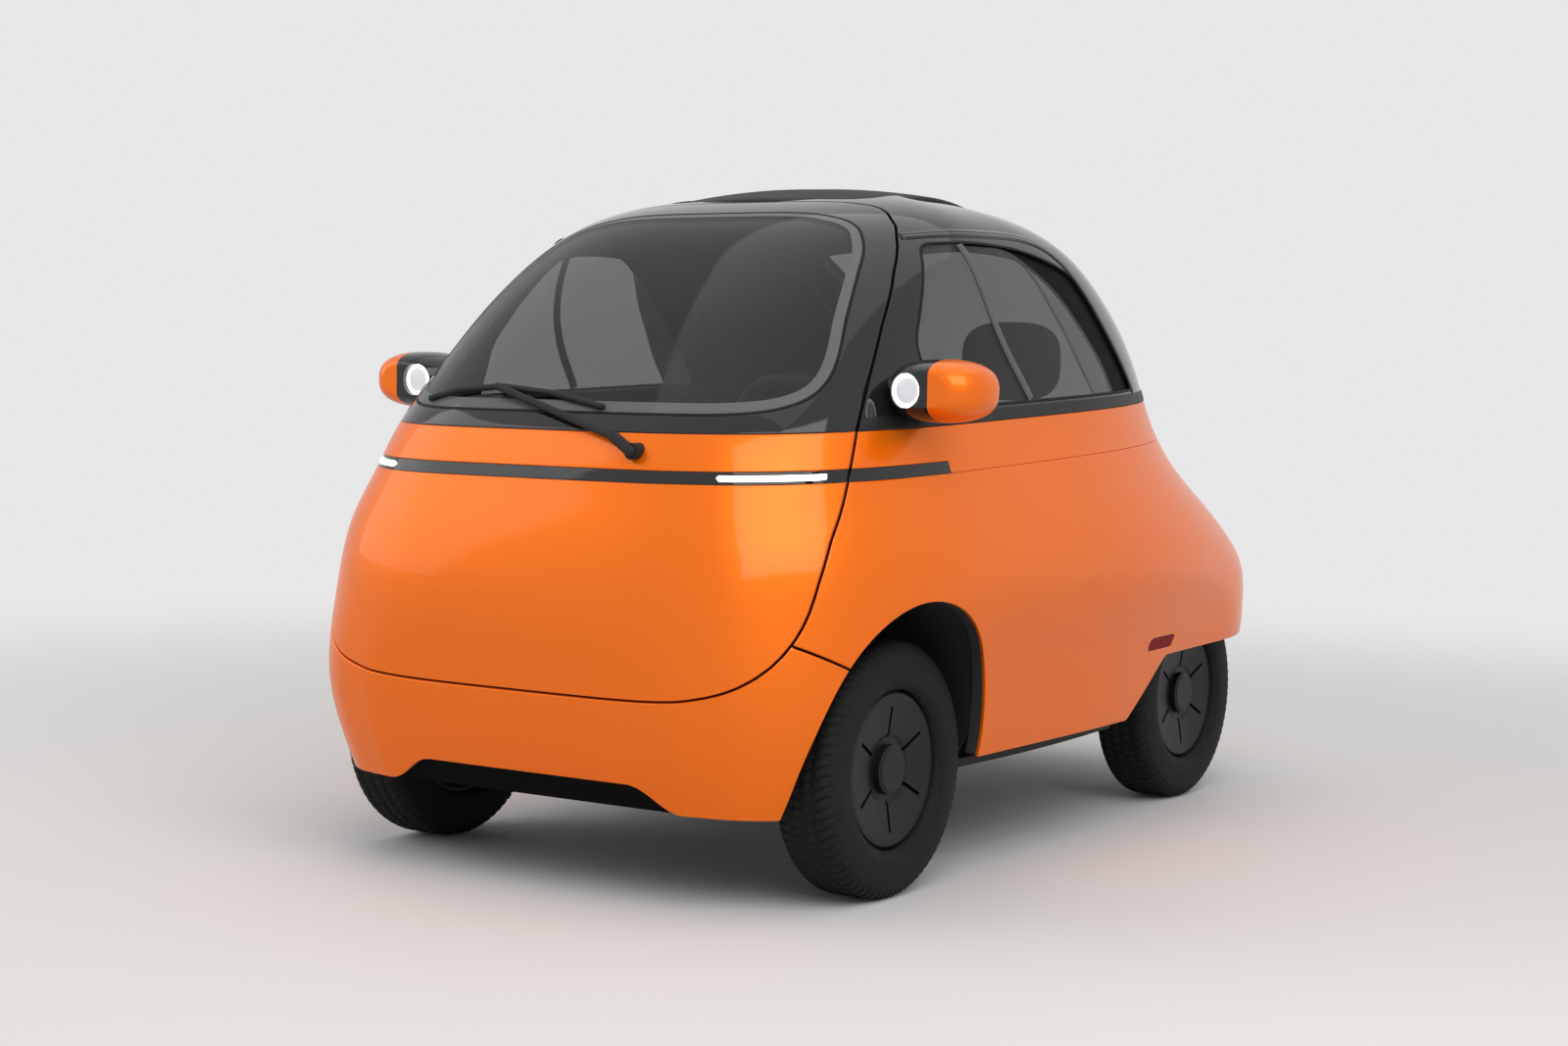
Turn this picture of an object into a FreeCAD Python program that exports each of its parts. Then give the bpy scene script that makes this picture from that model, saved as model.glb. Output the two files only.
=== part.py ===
import FreeCAD, Part
import math
import os

os.makedirs("parts", exist_ok=True)

V = FreeCAD.Vector

# Overall sizes of the car in millimetres, front towards -Y, the car's left towards +X
LENGTH = 2519.0
WIDTH = 1473.0
HEIGHT = 1501.0
WHEELBASE = 1566.0
FRONT_OVERHANG = 459.5
FRONT_TRACK = 1154.0
REAR_TRACK = 968.0
TYRE_DIAMETER = 533.0
TYRE_WIDTH = 145.0
HALF_WIDTH = WIDTH / 2
NOSE_Y = -LENGTH / 2
TAIL_Y = LENGTH / 2
FRONT_AXLE_Y = NOSE_Y + FRONT_OVERHANG
REAR_AXLE_Y = FRONT_AXLE_Y + WHEELBASE
AXLE_Z = TYRE_DIAMETER / 2
OVERRUN = 60.0
SEAT_GAP = 0.3

# Body skin: horizontal superellipse sections about the widest station
WAIST_Y = -250.0
NOSE_REACH = WAIST_Y - NOSE_Y
TAIL_RUN = 1870.0
SECTION_POINTS = 48
# height, nose reach, tail reach, half width, front fullness, rear fullness
SKIN_SHARES = (
    (0.1299, 0.9345, 0.9690, 0.8700, 6.20, 2.30),
    (0.1999, 0.9658, 0.9893, 0.8988, 6.20, 2.30),
    (0.2665, 0.9837, 1.0000, 0.9206, 6.00, 2.30),
    (0.3198, 0.9926, 0.9893, 0.9477, 5.20, 2.30),
    (0.3797, 0.9985, 0.9519, 0.9857, 4.30, 2.35),
    (0.4397, 0.9906, 0.8824, 0.9993, 4.00, 2.35),
    (0.4997, 0.9668, 0.7834, 0.9776, 4.00, 2.40),
    (0.5663, 0.9272, 0.6738, 0.9314, 3.90, 2.50),
    (0.6396, 0.8737, 0.5963, 0.8853, 3.80, 2.65),
    (0.7062, 0.7826, 0.5535, 0.8608, 3.60, 2.75),
    (0.7861, 0.6587, 0.4920, 0.8282, 3.40, 2.85),
    (0.8594, 0.5250, 0.4182, 0.7848, 3.20, 2.85),
    (0.9061, 0.4260, 0.3529, 0.7332, 3.00, 2.90),
    (0.9394, 0.3318, 0.2914, 0.6572, 2.90, 2.90),
    (0.9627, 0.2278, 0.2273, 0.5499, 2.80, 2.90),
    (0.9760, 0.1291, 0.1624, 0.4409, 2.80, 2.90),
    (0.9847, 0.0495, 0.1310, 0.3557, 2.70, 2.80),
)
FRONT_FLARE = 24.0
FRONT_FLARE_Y = -930.0
FRONT_FLARE_RUN = 280.0
FRONT_FLARE_Z = 420.0
FRONT_FLARE_RISE = 175.0
REAR_FLARE = 34.0
REAR_FLARE_Y = 985.0
REAR_FLARE_RUN = 240.0
REAR_FLARE_Z = 425.0
REAR_FLARE_RISE = 150.0
FLARE_START_X = 500.0
BODY_WALL = 34.0
PANEL_GAP = 5.0

# Tail face, leaning forward and crowned in plan
TAIL_EDGE_Z = 400.0
TAIL_LEAN = 0.30
TAIL_CROWN = 110.0
TAIL_CROWN_X = 600.0
TAIL_STATION_SHARES = (-1.2, -0.9, -0.6, -0.3, 0.0, 0.3, 0.6, 0.9, 1.2)

# Belt line, which rises gently to the rear
BELT_SLOPE = 0.04
BELT_LOW_Z = 994.0
BELT_HIGH_Z = 1021.0
BELT_DEPTH = 8.0

# Front door
DOOR_APEX_X = 150.0
DOOR_APEX_Y = 250.0
DOOR_APEX_Z = 850.0
CONE_FAR_Y = -1300.0
CONE_NEAR_SHARE = 0.05
OUTLINE_POINTS = 72
DOOR_HALF = 632.0
DOOR_LOW_Z = 420.0
DOOR_MIDDLE_Z = 930.0
DOOR_TOP_Z = 1452.0
DOOR_TAPER = 0.215
DOOR_TAPER_Z = 780.0
DOOR_FULLNESS = 5.3
SCREEN_HALF = 535.0
SCREEN_LOW_Z = 985.0
SCREEN_MIDDLE_Z = 1200.0
SCREEN_TOP_Z = 1421.0
SCREEN_TAPER = 0.36
SCREEN_TAPER_Z = 1080.0
SCREEN_LOW_FULLNESS = 8.0
SCREEN_TOP_FULLNESS = 4.8
TAPER_BLEND = 60.0
GLASS_SET_IN = 1.0
GLASS_THICKNESS = 6.0
GLASS_EDGE_GAP = 1.5
GLASS_REST = 16.0
DOOR_HINGE_X = 600.0
DOOR_HINGE_Y = -1140.0
DOOR_HINGE_Z = 524.0
DOOR_BARREL_RADIUS = 6.0
DOOR_BARREL_LENGTH = 22.0
DOOR_PIN_RADIUS = 3.0
HINGE_PIN_GAP = 0.1
RUNNING_GAP = 5.0

# Light bar across the door and on to the sides
LIGHT_LOW_Z = 897.4
LIGHT_HEIGHT = 25.0
LIGHT_DEPTH = 10.0
LIGHT_SET_IN = 1.0
LIGHT_END_Y = -651.0
LED_INNER_X = 421.0
LED_OUTER_X = 590.0
LED_HEIGHT = 12.0
LED_DEPTH = 4.0

# Front bumper and its air intake
BUMPER_TOP_Y = -1140.0
BUMPER_TOP_Z = 544.0
BUMPER_SEAM_SLOPE = 0.475
BUMPER_BACK_Y = -1000.0
INTAKE_HALF = 385.0
INTAKE_TOP_HALF = 262.0
INTAKE_TOP_Z = 248.0
INTAKE_RIB_PITCH = 13.0
INTAKE_RIB = 5.0
INTAKE_RIB_SET_IN = 5.0
INTAKE_DEPTH = 24.0
INTAKE_END_POINTS = 7
INTAKE_RIB_STEPS = 3

# Lower edges and wheel arches
FRONT_ARCH_HALF = 308.0
FRONT_ARCH_RISE = 350.0
SILL_Z = 259.0
SILL_FRONT_Y = -507.0
SILL_REAR_Y = 240.0
TAIL_EDGE_START_Y = 430.0
REAR_WELL_RADIUS = 292.0
REAR_WELL_CLEARANCE = 9.0
LINER_WALL = 4.0
LINER_GAP = 1.0
FRONT_HOUSE_INNER_X = 338.0
REAR_HOUSE_INNER_X = 392.0

# Side markers low on the sides
MARKER_FRONT_Y = 290.0
MARKER_REAR_Y = 470.0
MARKER_SLANT = 16.0
MARKER_LOW_Z = 420.0
MARKER_HEIGHT = 30.0
MARKER_DEPTH = 6.0
MARKER_SET_IN = 0.5

# Side windows
WINDOW_CORNER = 26.0
WINDOW_CORNERS = (0, 4, 5)
ARC_RUN_SHARE = 0.45
# along the car and upwards, from the front top corner round to the rear
SIDE_WINDOW_SHARES = (
    (-0.4145, 0.9007),
    (-0.4954, 0.8041),
    (-0.5320, 0.7582),
    (-0.5280, 0.7222),
    (-0.5328, 0.6672),
    (0.2900, 0.6944),
    (0.2493, 0.7262),
    (0.2025, 0.7981),
    (0.1104, 0.8574),
    (-0.0270, 0.8881),
    (-0.1382, 0.9034),
    (-0.2890, 0.9074),
)

# Tailgate
GATE_HALF = 380.0
GATE_LOW_Z = 690.0
GATE_TOP_Y = 205.0
GATE_GAP = 6.0
GATE_LIGHT_LOW_Z = 800.0
GATE_LIGHT_HEIGHT = 34.0
GATE_LIGHT_HALF = 350.0
GATE_GLASS_LOW_Z = 950.0
GATE_GLASS_TOP_Y = 300.0
GATE_GLASS_HALF = 300.0
GATE_CORNER = 60.0
GATE_HINGE_X = 190.0
GATE_HINGE_Y = 202.0
GATE_HINGE_Z = 1442.0
GATE_BARREL_RADIUS = 8.0
GATE_BARREL_LENGTH = 40.0
GATE_PIN_RADIUS = 4.0

# Roof opening and its canvas
CANVAS_HALF = 300.0
CANVAS_FRONT_Y = -420.0
CANVAS_REAR_Y = 130.0
CANVAS_CORNER = 90.0
CANVAS_CROWN = 300.0
CANVAS_CROWN_WIDTH = 783.0
CANVAS_CROWN_LENGTH = 561.0
CANVAS_LAP = 50.0

# Floor
FLOOR_Z = 225.0
FLOOR_SHEET = 20.0
TOE_TOP_Z = 395.0
TOE_Y = -1120.0
RISER_Y = 330.0
BOOT_FLOOR_Z = 520.0
BOOT_END_Y = 1150.0

# Lifting pads under the floor
LIFT_PAD = 60.0
LIFT_PAD_HEIGHT = 12.0
LIFT_PAD_X = 500.0
LIFT_PAD_FRONT_Y = -360.0
LIFT_PAD_REAR_Y = 220.0

# Wheels
RIM_RADIUS = 165.0
RIM_SHEET = 9.0
RIM_INSET_SHARE = 0.78
HUB_BORE = 17.5
HUB_RADIUS = 40.0
HUB_DEPTH = 51.0
COVER_OUT_SHARE = 0.75
COVER_SHEET = 12.0
COVER_DISH = 10.0
COVER_FLAT_INNER = 74.0
COVER_LIP = 16.0
CAP_RADIUS = 52.0
CAP_RISE = 14.0
CAP_EDGE = 8.0
COVER_SLOTS = 6
COVER_SLOT_WIDTH = 8.0
COVER_SLOT_INNER = 66.0
COVER_SLOT_OUTER = 130.0
SPINDLE_GAP = 0.3
SPINDLE_END = 10.0
# distance along the axle as a share of half the width, and radius as a share of the side wall
TYRE_SHARES = (
    (-0.80, 0.00),
    (-0.94, 0.12),
    (-1.00, 0.42),
    (-0.97, 0.66),
    (-0.88, 0.86),
    (-0.76, 0.95),
    (-0.40, 0.995),
    (0.00, 1.00),
    (0.40, 0.995),
    (0.76, 0.95),
    (0.88, 0.86),
    (0.97, 0.66),
    (1.00, 0.42),
    (0.94, 0.12),
    (0.80, 0.00),
)

# Front suspension and steering
KINGPIN_OFFSET = 25.0
KINGPIN_RADIUS = 20.0
KINGPIN_HALF = 70.0
BALL_RADIUS = 9.0
BALL_LENGTH = 22.0
ARM_THICKNESS = 18.0
ARM_EYE_RADIUS = 24.0
ARM_ROOT_X = 250.0
ARM_SPREAD = 120.0
ARM_LEG = 24.0
ARM_GAP = 1.0
HIGH_ARM_SPREAD = 50.0
SUBFRAME_BORDER = 20.0
TOWER_GAP = 2.0
TOWER_SHEET = 16.0
STEERING_ARM = 110.0
STEERING_ARM_WIDTH = 24.0
STEERING_ARM_THICKNESS = 18.0
STEERING_ARM_TURN = 55.0
WHEEL_HAND_X = 285.0
WHEEL_HAND_Y = -610.0
WHEEL_HAND_Z = 905.0
WHEEL_HAND_RADIUS = 175.0
WHEEL_HAND_GRIP = 14.0
WHEEL_HAND_BOSS = 38.0
WHEEL_HAND_BOSS_DEPTH = 40.0
SPOKE_WIDTH = 22.0
SPOKE_NEAR = 4.0
SPOKE_FAR = 14.0
SPOKE_TURNS = (0, 180, 270)
COLUMN_GAP = 0.6
COLUMN_RAKE = 28.0
COLUMN_RADIUS = 22.0
COLUMN_LENGTH = 190.0
COLUMN_FOOT_RUN = 70.0

# Instrument housing over the column
DIAL_WIDTH = 210.0
DIAL_HEIGHT = 120.0
DIAL_DEPTH = 46.0
DIAL_RISE = 92.0
DIAL_AHEAD = 120.0
DIAL_CORNER = 14.0
DIAL_STALK = 26.0

# Seat
SEAT_FRAME_HALF = 380.0
SEAT_FRAME_SHEET = 16.0
SEAT_HALF = 560.0
SEAT_FRONT_Y = -160.0
SEAT_REAR_Y = 300.0
SEAT_TOP_Z = 520.0
SEAT_CUSHION = 150.0
BACK_TOP_Z = 960.0
BACK_THICKNESS = 120.0
SEAT_SOFTNESS = 40.0
HEADREST_X = 300.0
HEADREST_HALF = 130.0
HEADREST_HEIGHT = 190.0
HEADREST_THICKNESS = 90.0
HEADREST_LOW_Z = 1010.0
HEADREST_SOFTNESS = 35.0
HEADREST_POST = 6.0
HEADREST_POST_SPACING = 80.0

# Headlamp and mirror pods
POD_X = 698.0
POD_Z = 1041.0
POD_HALF_WIDTH = 108.0
POD_HALF_HEIGHT = 65.0
POD_FULLNESS = 2.5
POD_POINTS = 24
POD_FRONT_Y = -824.0
POD_LENGTH = 138.0
# distance back from the front as a share of the length, and size as a share of the fullest section
POD_SHARES = (
    (0.00, 0.52),
    (0.06, 0.70),
    (0.18, 0.85),
    (0.38, 0.96),
    (0.62, 1.00),
    (0.86, 0.98),
    (1.00, 0.94),
)
POD_SEAM_X = 712.0
POD_SEAM_GAP = 0.3
POD_STUB_RADIUS = 30.0
POD_STUB_Y = -752.0
LAMP_X = 657.0
LAMP_RADIUS = 36.0
LAMP_DEPTH = 26.0
LAMP_SET_IN = 5.0
MIRROR_SET_IN = 6.0
MIRROR_SHARE = 0.86

# Wiper on the door
WIPER_POST_RADIUS = 17.0
WIPER_POST_HEIGHT = 26.0
WIPER_ARM_RADIUS = 8.0
WIPER_HEAD_RADIUS = 12.0
WIPER_BLADE_RADIUS = 7.0
WIPER_BLADE_STAND = 12.0
WIPER_ARM_STAND = 26.0
# across the car and upwards
WIPER_PIVOT = (238.0, 912.0)
WIPER_KNEE = (190.0, 938.0)
WIPER_TIP = (-185.0, 1034.0)
WIPER_BLADE = ((-390.0, 1005.0), (-309.0, 1024.0), (-185.0, 1034.0), (-34.0, 1022.0), (111.0, 998.0))

# Rear axle
REAR_BEAM_RADIUS = 34.0
REAR_ARM_X = 260.0
REAR_ARM_WIDTH = 44.0

# Masses closed inside
BATTERY_GAP = 10.0
MOTOR_RADIUS = 110.0
MOTOR_LENGTH = 260.0
BATTERY_LENGTH = 430.0
BATTERY_WIDTH = 700.0
BATTERY_HEIGHT = 90.0


def box(x0, x1, y0, y1, z0, z1):
    return Part.makeBox(abs(x1 - x0), y1 - y0, z1 - z0, V(min(x0, x1), y0, z0))


def rod(start, end, radius):
    run = end.sub(start)
    return Part.makeCylinder(radius, run.Length, start, run)


def prism_x(points, x0, x1):
    """Side-view outline, given as (y, z) places, run through from x0 to x1"""
    corners = [V(x0, y, z) for y, z in points]
    face = Part.Face(Part.makePolygon(corners + corners[:1]))
    return face.extrude(V(x1 - x0, 0, 0))


def mirrored(shape):
    return shape.mirror(V(0, 0, 0), V(1, 0, 0))


def both(shape):
    return Part.makeCompound([shape, mirrored(shape)])


def only_solids(shape):
    solids = shape.Solids
    return solids[0] if len(solids) == 1 else Part.makeCompound(solids)


def largest(shape):
    return max(shape.Solids, key=lambda solid: solid.Volume)


def chord_steps(points):
    """Parameters that follow the distance from each point to the next"""
    places = [0.0]
    for a, b in zip(points, points[1:] + points[:1]):
        places.append(places[-1] + (b - a).Length)
    return [p / places[-1] for p in places]


def closed_curve(points, steps):
    curve = Part.BSplineCurve()
    curve.interpolate(Points=points, PeriodicFlag=True, Parameters=steps)
    return curve


def power(value, exponent):
    return math.copysign(abs(value) ** exponent, value)


def bump(value, centre, run):
    return math.exp(-((value - centre) / run) ** 2)


def skin_point(row, turn):
    height, nose, tail, width, front_fullness, rear_fullness = row
    across, along = math.cos(turn), math.sin(turn)
    ahead = along < 0
    fullness = front_fullness if ahead else rear_fullness
    reach = nose * NOSE_REACH if ahead else tail * TAIL_RUN
    x = HALF_WIDTH * width * power(across, 2 / fullness)
    y = WAIST_Y + reach * power(along, 2 / fullness)
    z = HEIGHT * height
    front = FRONT_FLARE * bump(y, FRONT_FLARE_Y, FRONT_FLARE_RUN) * bump(z, FRONT_FLARE_Z, FRONT_FLARE_RISE)
    rear = REAR_FLARE * bump(y, REAR_FLARE_Y, REAR_FLARE_RUN) * bump(z, REAR_FLARE_Z, REAR_FLARE_RISE)
    out = min(abs(x) / FLARE_START_X, 1) ** 2
    return V(x + math.copysign(out * (front + rear), x), y, z)


SKIN_GRID = [[skin_point(row, 2 * math.pi * i / SECTION_POINTS) for i in range(SECTION_POINTS)]
             for row in SKIN_SHARES]


EVEN_STEPS = [i / SECTION_POINTS for i in range(SECTION_POINTS + 1)]


def skin_normal(row, i):
    last = len(SKIN_GRID) - 1
    around = SKIN_GRID[row][(i + 1) % SECTION_POINTS].sub(SKIN_GRID[row][i - 1])
    upward = SKIN_GRID[min(row + 1, last)][i].sub(SKIN_GRID[max(row - 1, 0)][i])
    if row in (0, last):
        upward = V(0, 0, 1)
    return around.cross(upward).normalize()


def skin_solid(depth):
    """The body's outer form, moved inwards by depth all over"""
    wires = []
    last = len(SKIN_GRID) - 1
    for row, points in enumerate(SKIN_GRID):
        moved = [p.sub(skin_normal(row, i).multiply(depth)) for i, p in enumerate(points)]
        if row == 0 and depth > 0:
            moved = [V(p.x, p.y, p.z - OVERRUN) for p in moved]
        if row == last:
            moved = [V(p.x, p.y, p.z - depth) for p in points]
        wires.append(Part.Wire([closed_curve(moved, EVEN_STEPS).toShape()]))
    return Part.makeLoft(wires, True, False)


def behind_tail(depth):
    """Everything behind the tail face, moved forward by depth"""
    def tail_y(x, z):
        return TAIL_Y - depth - TAIL_LEAN * (z - TAIL_EDGE_Z) - TAIL_CROWN * (x / TAIL_CROWN_X) ** 2
    curve = Part.BSplineCurve()
    stations = [side * HALF_WIDTH for side in TAIL_STATION_SHARES]
    curve.interpolate(Points=[V(x, tail_y(x, 0), 0) for x in stations])
    far = TAIL_Y + TAIL_RUN
    first, final = curve.StartPoint, curve.EndPoint
    edges = [curve.toShape(),
             Part.makeLine(final, V(final.x, far, 0)),
             Part.makeLine(V(final.x, far, 0), V(first.x, far, 0)),
             Part.makeLine(V(first.x, far, 0), first)]
    face = Part.Face(Part.Wire(edges))
    return face.extrude(V(0, -TAIL_LEAN * HEIGHT, HEIGHT))


BODY_FORMS = {}


def body_form(depth):
    if depth not in BODY_FORMS:
        BODY_FORMS[depth] = skin_solid(depth).cut(behind_tail(depth))
    return BODY_FORMS[depth]


def outside(cutter, depth):
    """The part of a cutter that lies nearer the surface than depth, and all of it beyond the skin"""
    return cutter.cut(body_form(depth))


def sheet(cutter, near, far):
    """Body-shaped sheet between two depths, trimmed by a cutter"""
    return body_form(near).common(cutter).cut(body_form(far))


def nose_y(x, z):
    """Place of the skin ahead of the waist, at a distance x from the middle and a height z"""
    share = z / HEIGHT
    above = next(i for i, row in enumerate(SKIN_SHARES) if row[0] >= share or row is SKIN_SHARES[-1])
    low, high = SKIN_SHARES[max(above - 1, 0)], SKIN_SHARES[above]
    part = (share - low[0]) / (high[0] - low[0]) if high is not low else 0
    nose, width, fullness = [low[k] + part * (high[k] - low[k]) for k in (1, 3, 4)]
    inward = 1 - min(abs(x) / (HALF_WIDTH * width), 1) ** fullness
    return WAIST_Y - NOSE_REACH * nose * inward ** (1 / fullness)


def nose_outline(half, low, middle, top, taper, taper_z, low_fullness, top_fullness):
    """Rounded outline on the nose, which narrows above a height, seen from the front"""
    points = []
    for i in range(OUTLINE_POINTS):
        turn = 2 * math.pi * i / OUTLINE_POINTS
        across, up = math.cos(turn), math.sin(turn)
        fullness = top_fullness if up > 0 else low_fullness
        size = (abs(across) ** fullness + abs(up) ** fullness) ** (-1 / fullness)
        z = middle + size * up * (top - middle if up > 0 else middle - low)
        rise = z - taper_z
        narrow = taper * (math.hypot(rise, TAPER_BLEND) + rise) / 2
        x = size * across * (half - narrow)
        points.append(V(x, nose_y(x, z), z))
    return points


DOOR_OUTLINE = nose_outline(DOOR_HALF, DOOR_LOW_Z, DOOR_MIDDLE_Z, DOOR_TOP_Z, DOOR_TAPER, DOOR_TAPER_Z,
                            DOOR_FULLNESS, DOOR_FULLNESS)
SCREEN_OUTLINE = nose_outline(SCREEN_HALF, SCREEN_LOW_Z, SCREEN_MIDDLE_Z, SCREEN_TOP_Z, SCREEN_TAPER,
                              SCREEN_TAPER_Z, SCREEN_LOW_FULLNESS, SCREEN_TOP_FULLNESS)


def door_cone(outline, grow):
    """Cutter through an outline on the nose, tapering inwards to the door's apex"""
    apex = V(DOOR_APEX_X, DOOR_APEX_Y, DOOR_APEX_Z)
    flat = [apex + (p - apex) * ((CONE_FAR_Y - apex.y) / (p.y - apex.y)) for p in outline]
    moved = []
    for i, p in enumerate(flat):
        along = flat[(i + 1) % len(flat)] - flat[i - 1]
        share = (apex.y - p.y) / (apex.y - outline[i].y)
        moved.append(p + V(along.z, 0, -along.x).normalize() * (grow * share))
    steps = chord_steps(moved)
    far = closed_curve(moved, steps)
    near = closed_curve([apex + (p - apex) * CONE_NEAR_SHARE for p in moved], steps)
    return Part.makeLoft([Part.Wire([near.toShape()]), Part.Wire([far.toShape()])], True, True)


def below(height, slope=BELT_SLOPE):
    """Everything under a plane that rises to the rear"""
    y = LENGTH
    return prism_x([(-y, -HEIGHT), (y, -HEIGHT), (y, height + slope * y), (-y, height - slope * y)],
                   -WIDTH, WIDTH)


def band(low, high):
    y = LENGTH
    slope = BELT_SLOPE
    return prism_x([(-y, low - slope * y), (y, low + slope * y), (y, high + slope * y),
                    (-y, high - slope * y)], -WIDTH, WIDTH)


def rounded_plan(x_half, y0, y1, corner, z0, z1):
    block = box(-x_half, x_half, y0, y1, z0, z1)
    upright = [e for e in block.Edges if abs(e.Vertexes[0].Z - e.Vertexes[1].Z) > corner]
    return block.makeFillet(corner, upright)


def rounded_wire(points, tangent_runs):
    """Closed outline whose corners are arcs that start and end at these distances from them"""
    edges = []
    ends = []
    for i, corner in enumerate(points):
        back = (points[i - 1] - corner).normalize()
        on = (points[(i + 1) % len(points)] - corner).normalize()
        run = tangent_runs[i]
        half = back.getAngle(on) / 2
        radius = run * math.tan(half)
        centre = corner + (back + on).normalize() * (run / math.cos(half))
        middle = centre + (corner - centre).normalize() * radius
        ends.append((corner + back * run, middle, corner + on * run))
    for i, (start, middle, end) in enumerate(ends):
        edges.append(Part.Arc(start, middle, end).toShape())
        edges.append(Part.makeLine(end, ends[(i + 1) % len(ends)][0]))
    return Part.Wire(edges)


def side_window(grow, x0, x1):
    """Prism of the side window's outline, grown all round"""
    points = [V(x0, y * TAIL_Y, z * HEIGHT) for y, z in SIDE_WINDOW_SHARES]
    runs = []
    for i, corner in enumerate(points):
        shorter = min((points[i - 1] - corner).Length, (points[(i + 1) % len(points)] - corner).Length)
        runs.append(WINDOW_CORNER if i in WINDOW_CORNERS else shorter * ARC_RUN_SHARE)
    wire = rounded_wire(points, runs)
    if grow:
        wire = wire.makeOffset2D(grow)
    return Part.Face(wire).extrude(V(x1 - x0, 0, 0))


def oval(half, rise, x0, x1):
    """Upright oval around the front axle, run through from x0 to x1"""
    centre = V(x0, FRONT_AXLE_Y, AXLE_Z)
    edge = Part.Ellipse(centre, rise, half).toShape()
    edge.rotate(centre, V(0, 1, 0), 90)
    return Part.Face(Part.Wire([edge])).extrude(V(x1 - x0, 0, 0))


def arch_cutter(inner_x):
    low = box(inner_x, WIDTH, FRONT_AXLE_Y - FRONT_ARCH_HALF, FRONT_AXLE_Y + FRONT_ARCH_HALF, 0, AXLE_Z)
    return oval(FRONT_ARCH_HALF, FRONT_ARCH_RISE, inner_x, WIDTH).fuse(low)


def rear_drum(radius, x0, x1):
    return Part.makeCylinder(radius, x1 - x0, V(x0, REAR_AXLE_Y, AXLE_Z), V(1, 0, 0))


def bumper_zone(grow):
    top_y, top_z = BUMPER_TOP_Y, BUMPER_TOP_Z + grow
    drop = BUMPER_SEAM_SLOPE
    front, back = -LENGTH, BUMPER_BACK_Y + grow
    return prism_x([(front, 0), (front, top_z + drop * (top_y - front)),
                    (back, top_z + drop * (top_y - back)), (back, 0)], -WIDTH, WIDTH)


def gate_zone(grow):
    half = GATE_HALF + grow
    return box(-half, half, GATE_TOP_Y - grow, LENGTH, GATE_LOW_Z - grow, HEIGHT * 2)


def upright(radius, z0, z1):
    return Part.makeCylinder(radius, z1 - z0, V(DOOR_HINGE_X, DOOR_HINGE_Y, z0))


def on_nose(place, stand):
    """Place on the nose, given as (across, up), moved straight ahead by stand"""
    x, z = place
    return V(x, nose_y(x, z) - stand, z)


def strung(places, radius):
    """Rods through places with a ball at each"""
    shape = Part.makeSphere(radius, places[0])
    for start, end in zip(places, places[1:]):
        shape = shape.fuse([rod(start, end, radius), Part.makeSphere(radius, end)])
    return shape


parts = {}

# Shared body forms
outer = body_form(0)
shell = outer.cut(body_form(BODY_WALL))
cabin = body_form(BODY_WALL + LINER_GAP)
door_hole = door_cone(DOOR_OUTLINE, PANEL_GAP / 2)
door_zone = door_cone(DOOR_OUTLINE, -PANEL_GAP / 2)
front_arches = both(arch_cutter(FRONT_HOUSE_INNER_X))
rear_outer_x = REAR_TRACK / 2 + TYRE_WIDTH / 2 + REAR_WELL_CLEARANCE
rear_wells = both(rear_drum(REAR_WELL_RADIUS, REAR_HOUSE_INNER_X, rear_outer_x))
under_body = prism_x([(SILL_FRONT_Y, 0), (SILL_FRONT_Y, SILL_Z), (SILL_REAR_Y, SILL_Z),
                      (TAIL_EDGE_START_Y, TAIL_EDGE_Z), (LENGTH, TAIL_EDGE_Z), (LENGTH, 0)],
                     -WIDTH, WIDTH)

# Front door
door_shell = shell.common(door_zone)
light_band = band(LIGHT_LOW_Z, LIGHT_LOW_Z + LIGHT_HEIGHT)
light_pocket = outside(light_band.common(box(-WIDTH, WIDTH, -LENGTH, LIGHT_END_Y, 0, HEIGHT)), LIGHT_DEPTH)
light_slab = sheet(band(LIGHT_LOW_Z + SEAT_GAP, LIGHT_LOW_Z + LIGHT_HEIGHT - SEAT_GAP).common(
    box(-WIDTH, WIDTH, -LENGTH, LIGHT_END_Y - SEAT_GAP, 0, HEIGHT)), LIGHT_SET_IN, LIGHT_DEPTH - SEAT_GAP)
led_low = LIGHT_LOW_Z + (LIGHT_HEIGHT - LED_HEIGHT) / 2


def led_cutter(gap):
    strip = box(LED_INNER_X + gap, LED_OUTER_X - gap, -LENGTH, 0, 0, HEIGHT)
    return both(strip.common(band(led_low + gap, led_low + LED_HEIGHT - gap)))


led_pocket = outside(led_cutter(0), LIGHT_SET_IN + LED_DEPTH)
hinge_low = DOOR_HINGE_Z - DOOR_BARREL_LENGTH
hinge_high = DOOR_HINGE_Z + DOOR_BARREL_LENGTH
hinge_clear = DOOR_BARREL_RADIUS + RUNNING_GAP
door_panel = door_shell.common(below(BELT_LOW_Z)).cut(light_pocket)
door_panel = door_panel.cut(upright(hinge_clear, hinge_low - RUNNING_GAP, DOOR_HINGE_Z + SEAT_GAP))
door_panel = door_panel.fuse(upright(DOOR_BARREL_RADIUS, DOOR_HINGE_Z + SEAT_GAP, hinge_high))
hinge_pin = upright(DOOR_PIN_RADIUS, hinge_low + SEAT_GAP, DOOR_HINGE_Z + SEAT_GAP)
parts["door_panel"] = largest(door_panel.fuse(hinge_pin))
parts["front_light_bar"] = largest(light_slab.common(door_zone).cut(led_pocket))
parts["front_light_strips"] = only_solids(
    sheet(led_cutter(SEAT_GAP), LIGHT_SET_IN, LIGHT_SET_IN + LED_DEPTH - SEAT_GAP))
screen_pocket = outside(door_cone(SCREEN_OUTLINE, 0), GLASS_SET_IN + GLASS_THICKNESS + SEAT_GAP)
screen_rest = door_cone(SCREEN_OUTLINE, -GLASS_REST)
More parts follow.
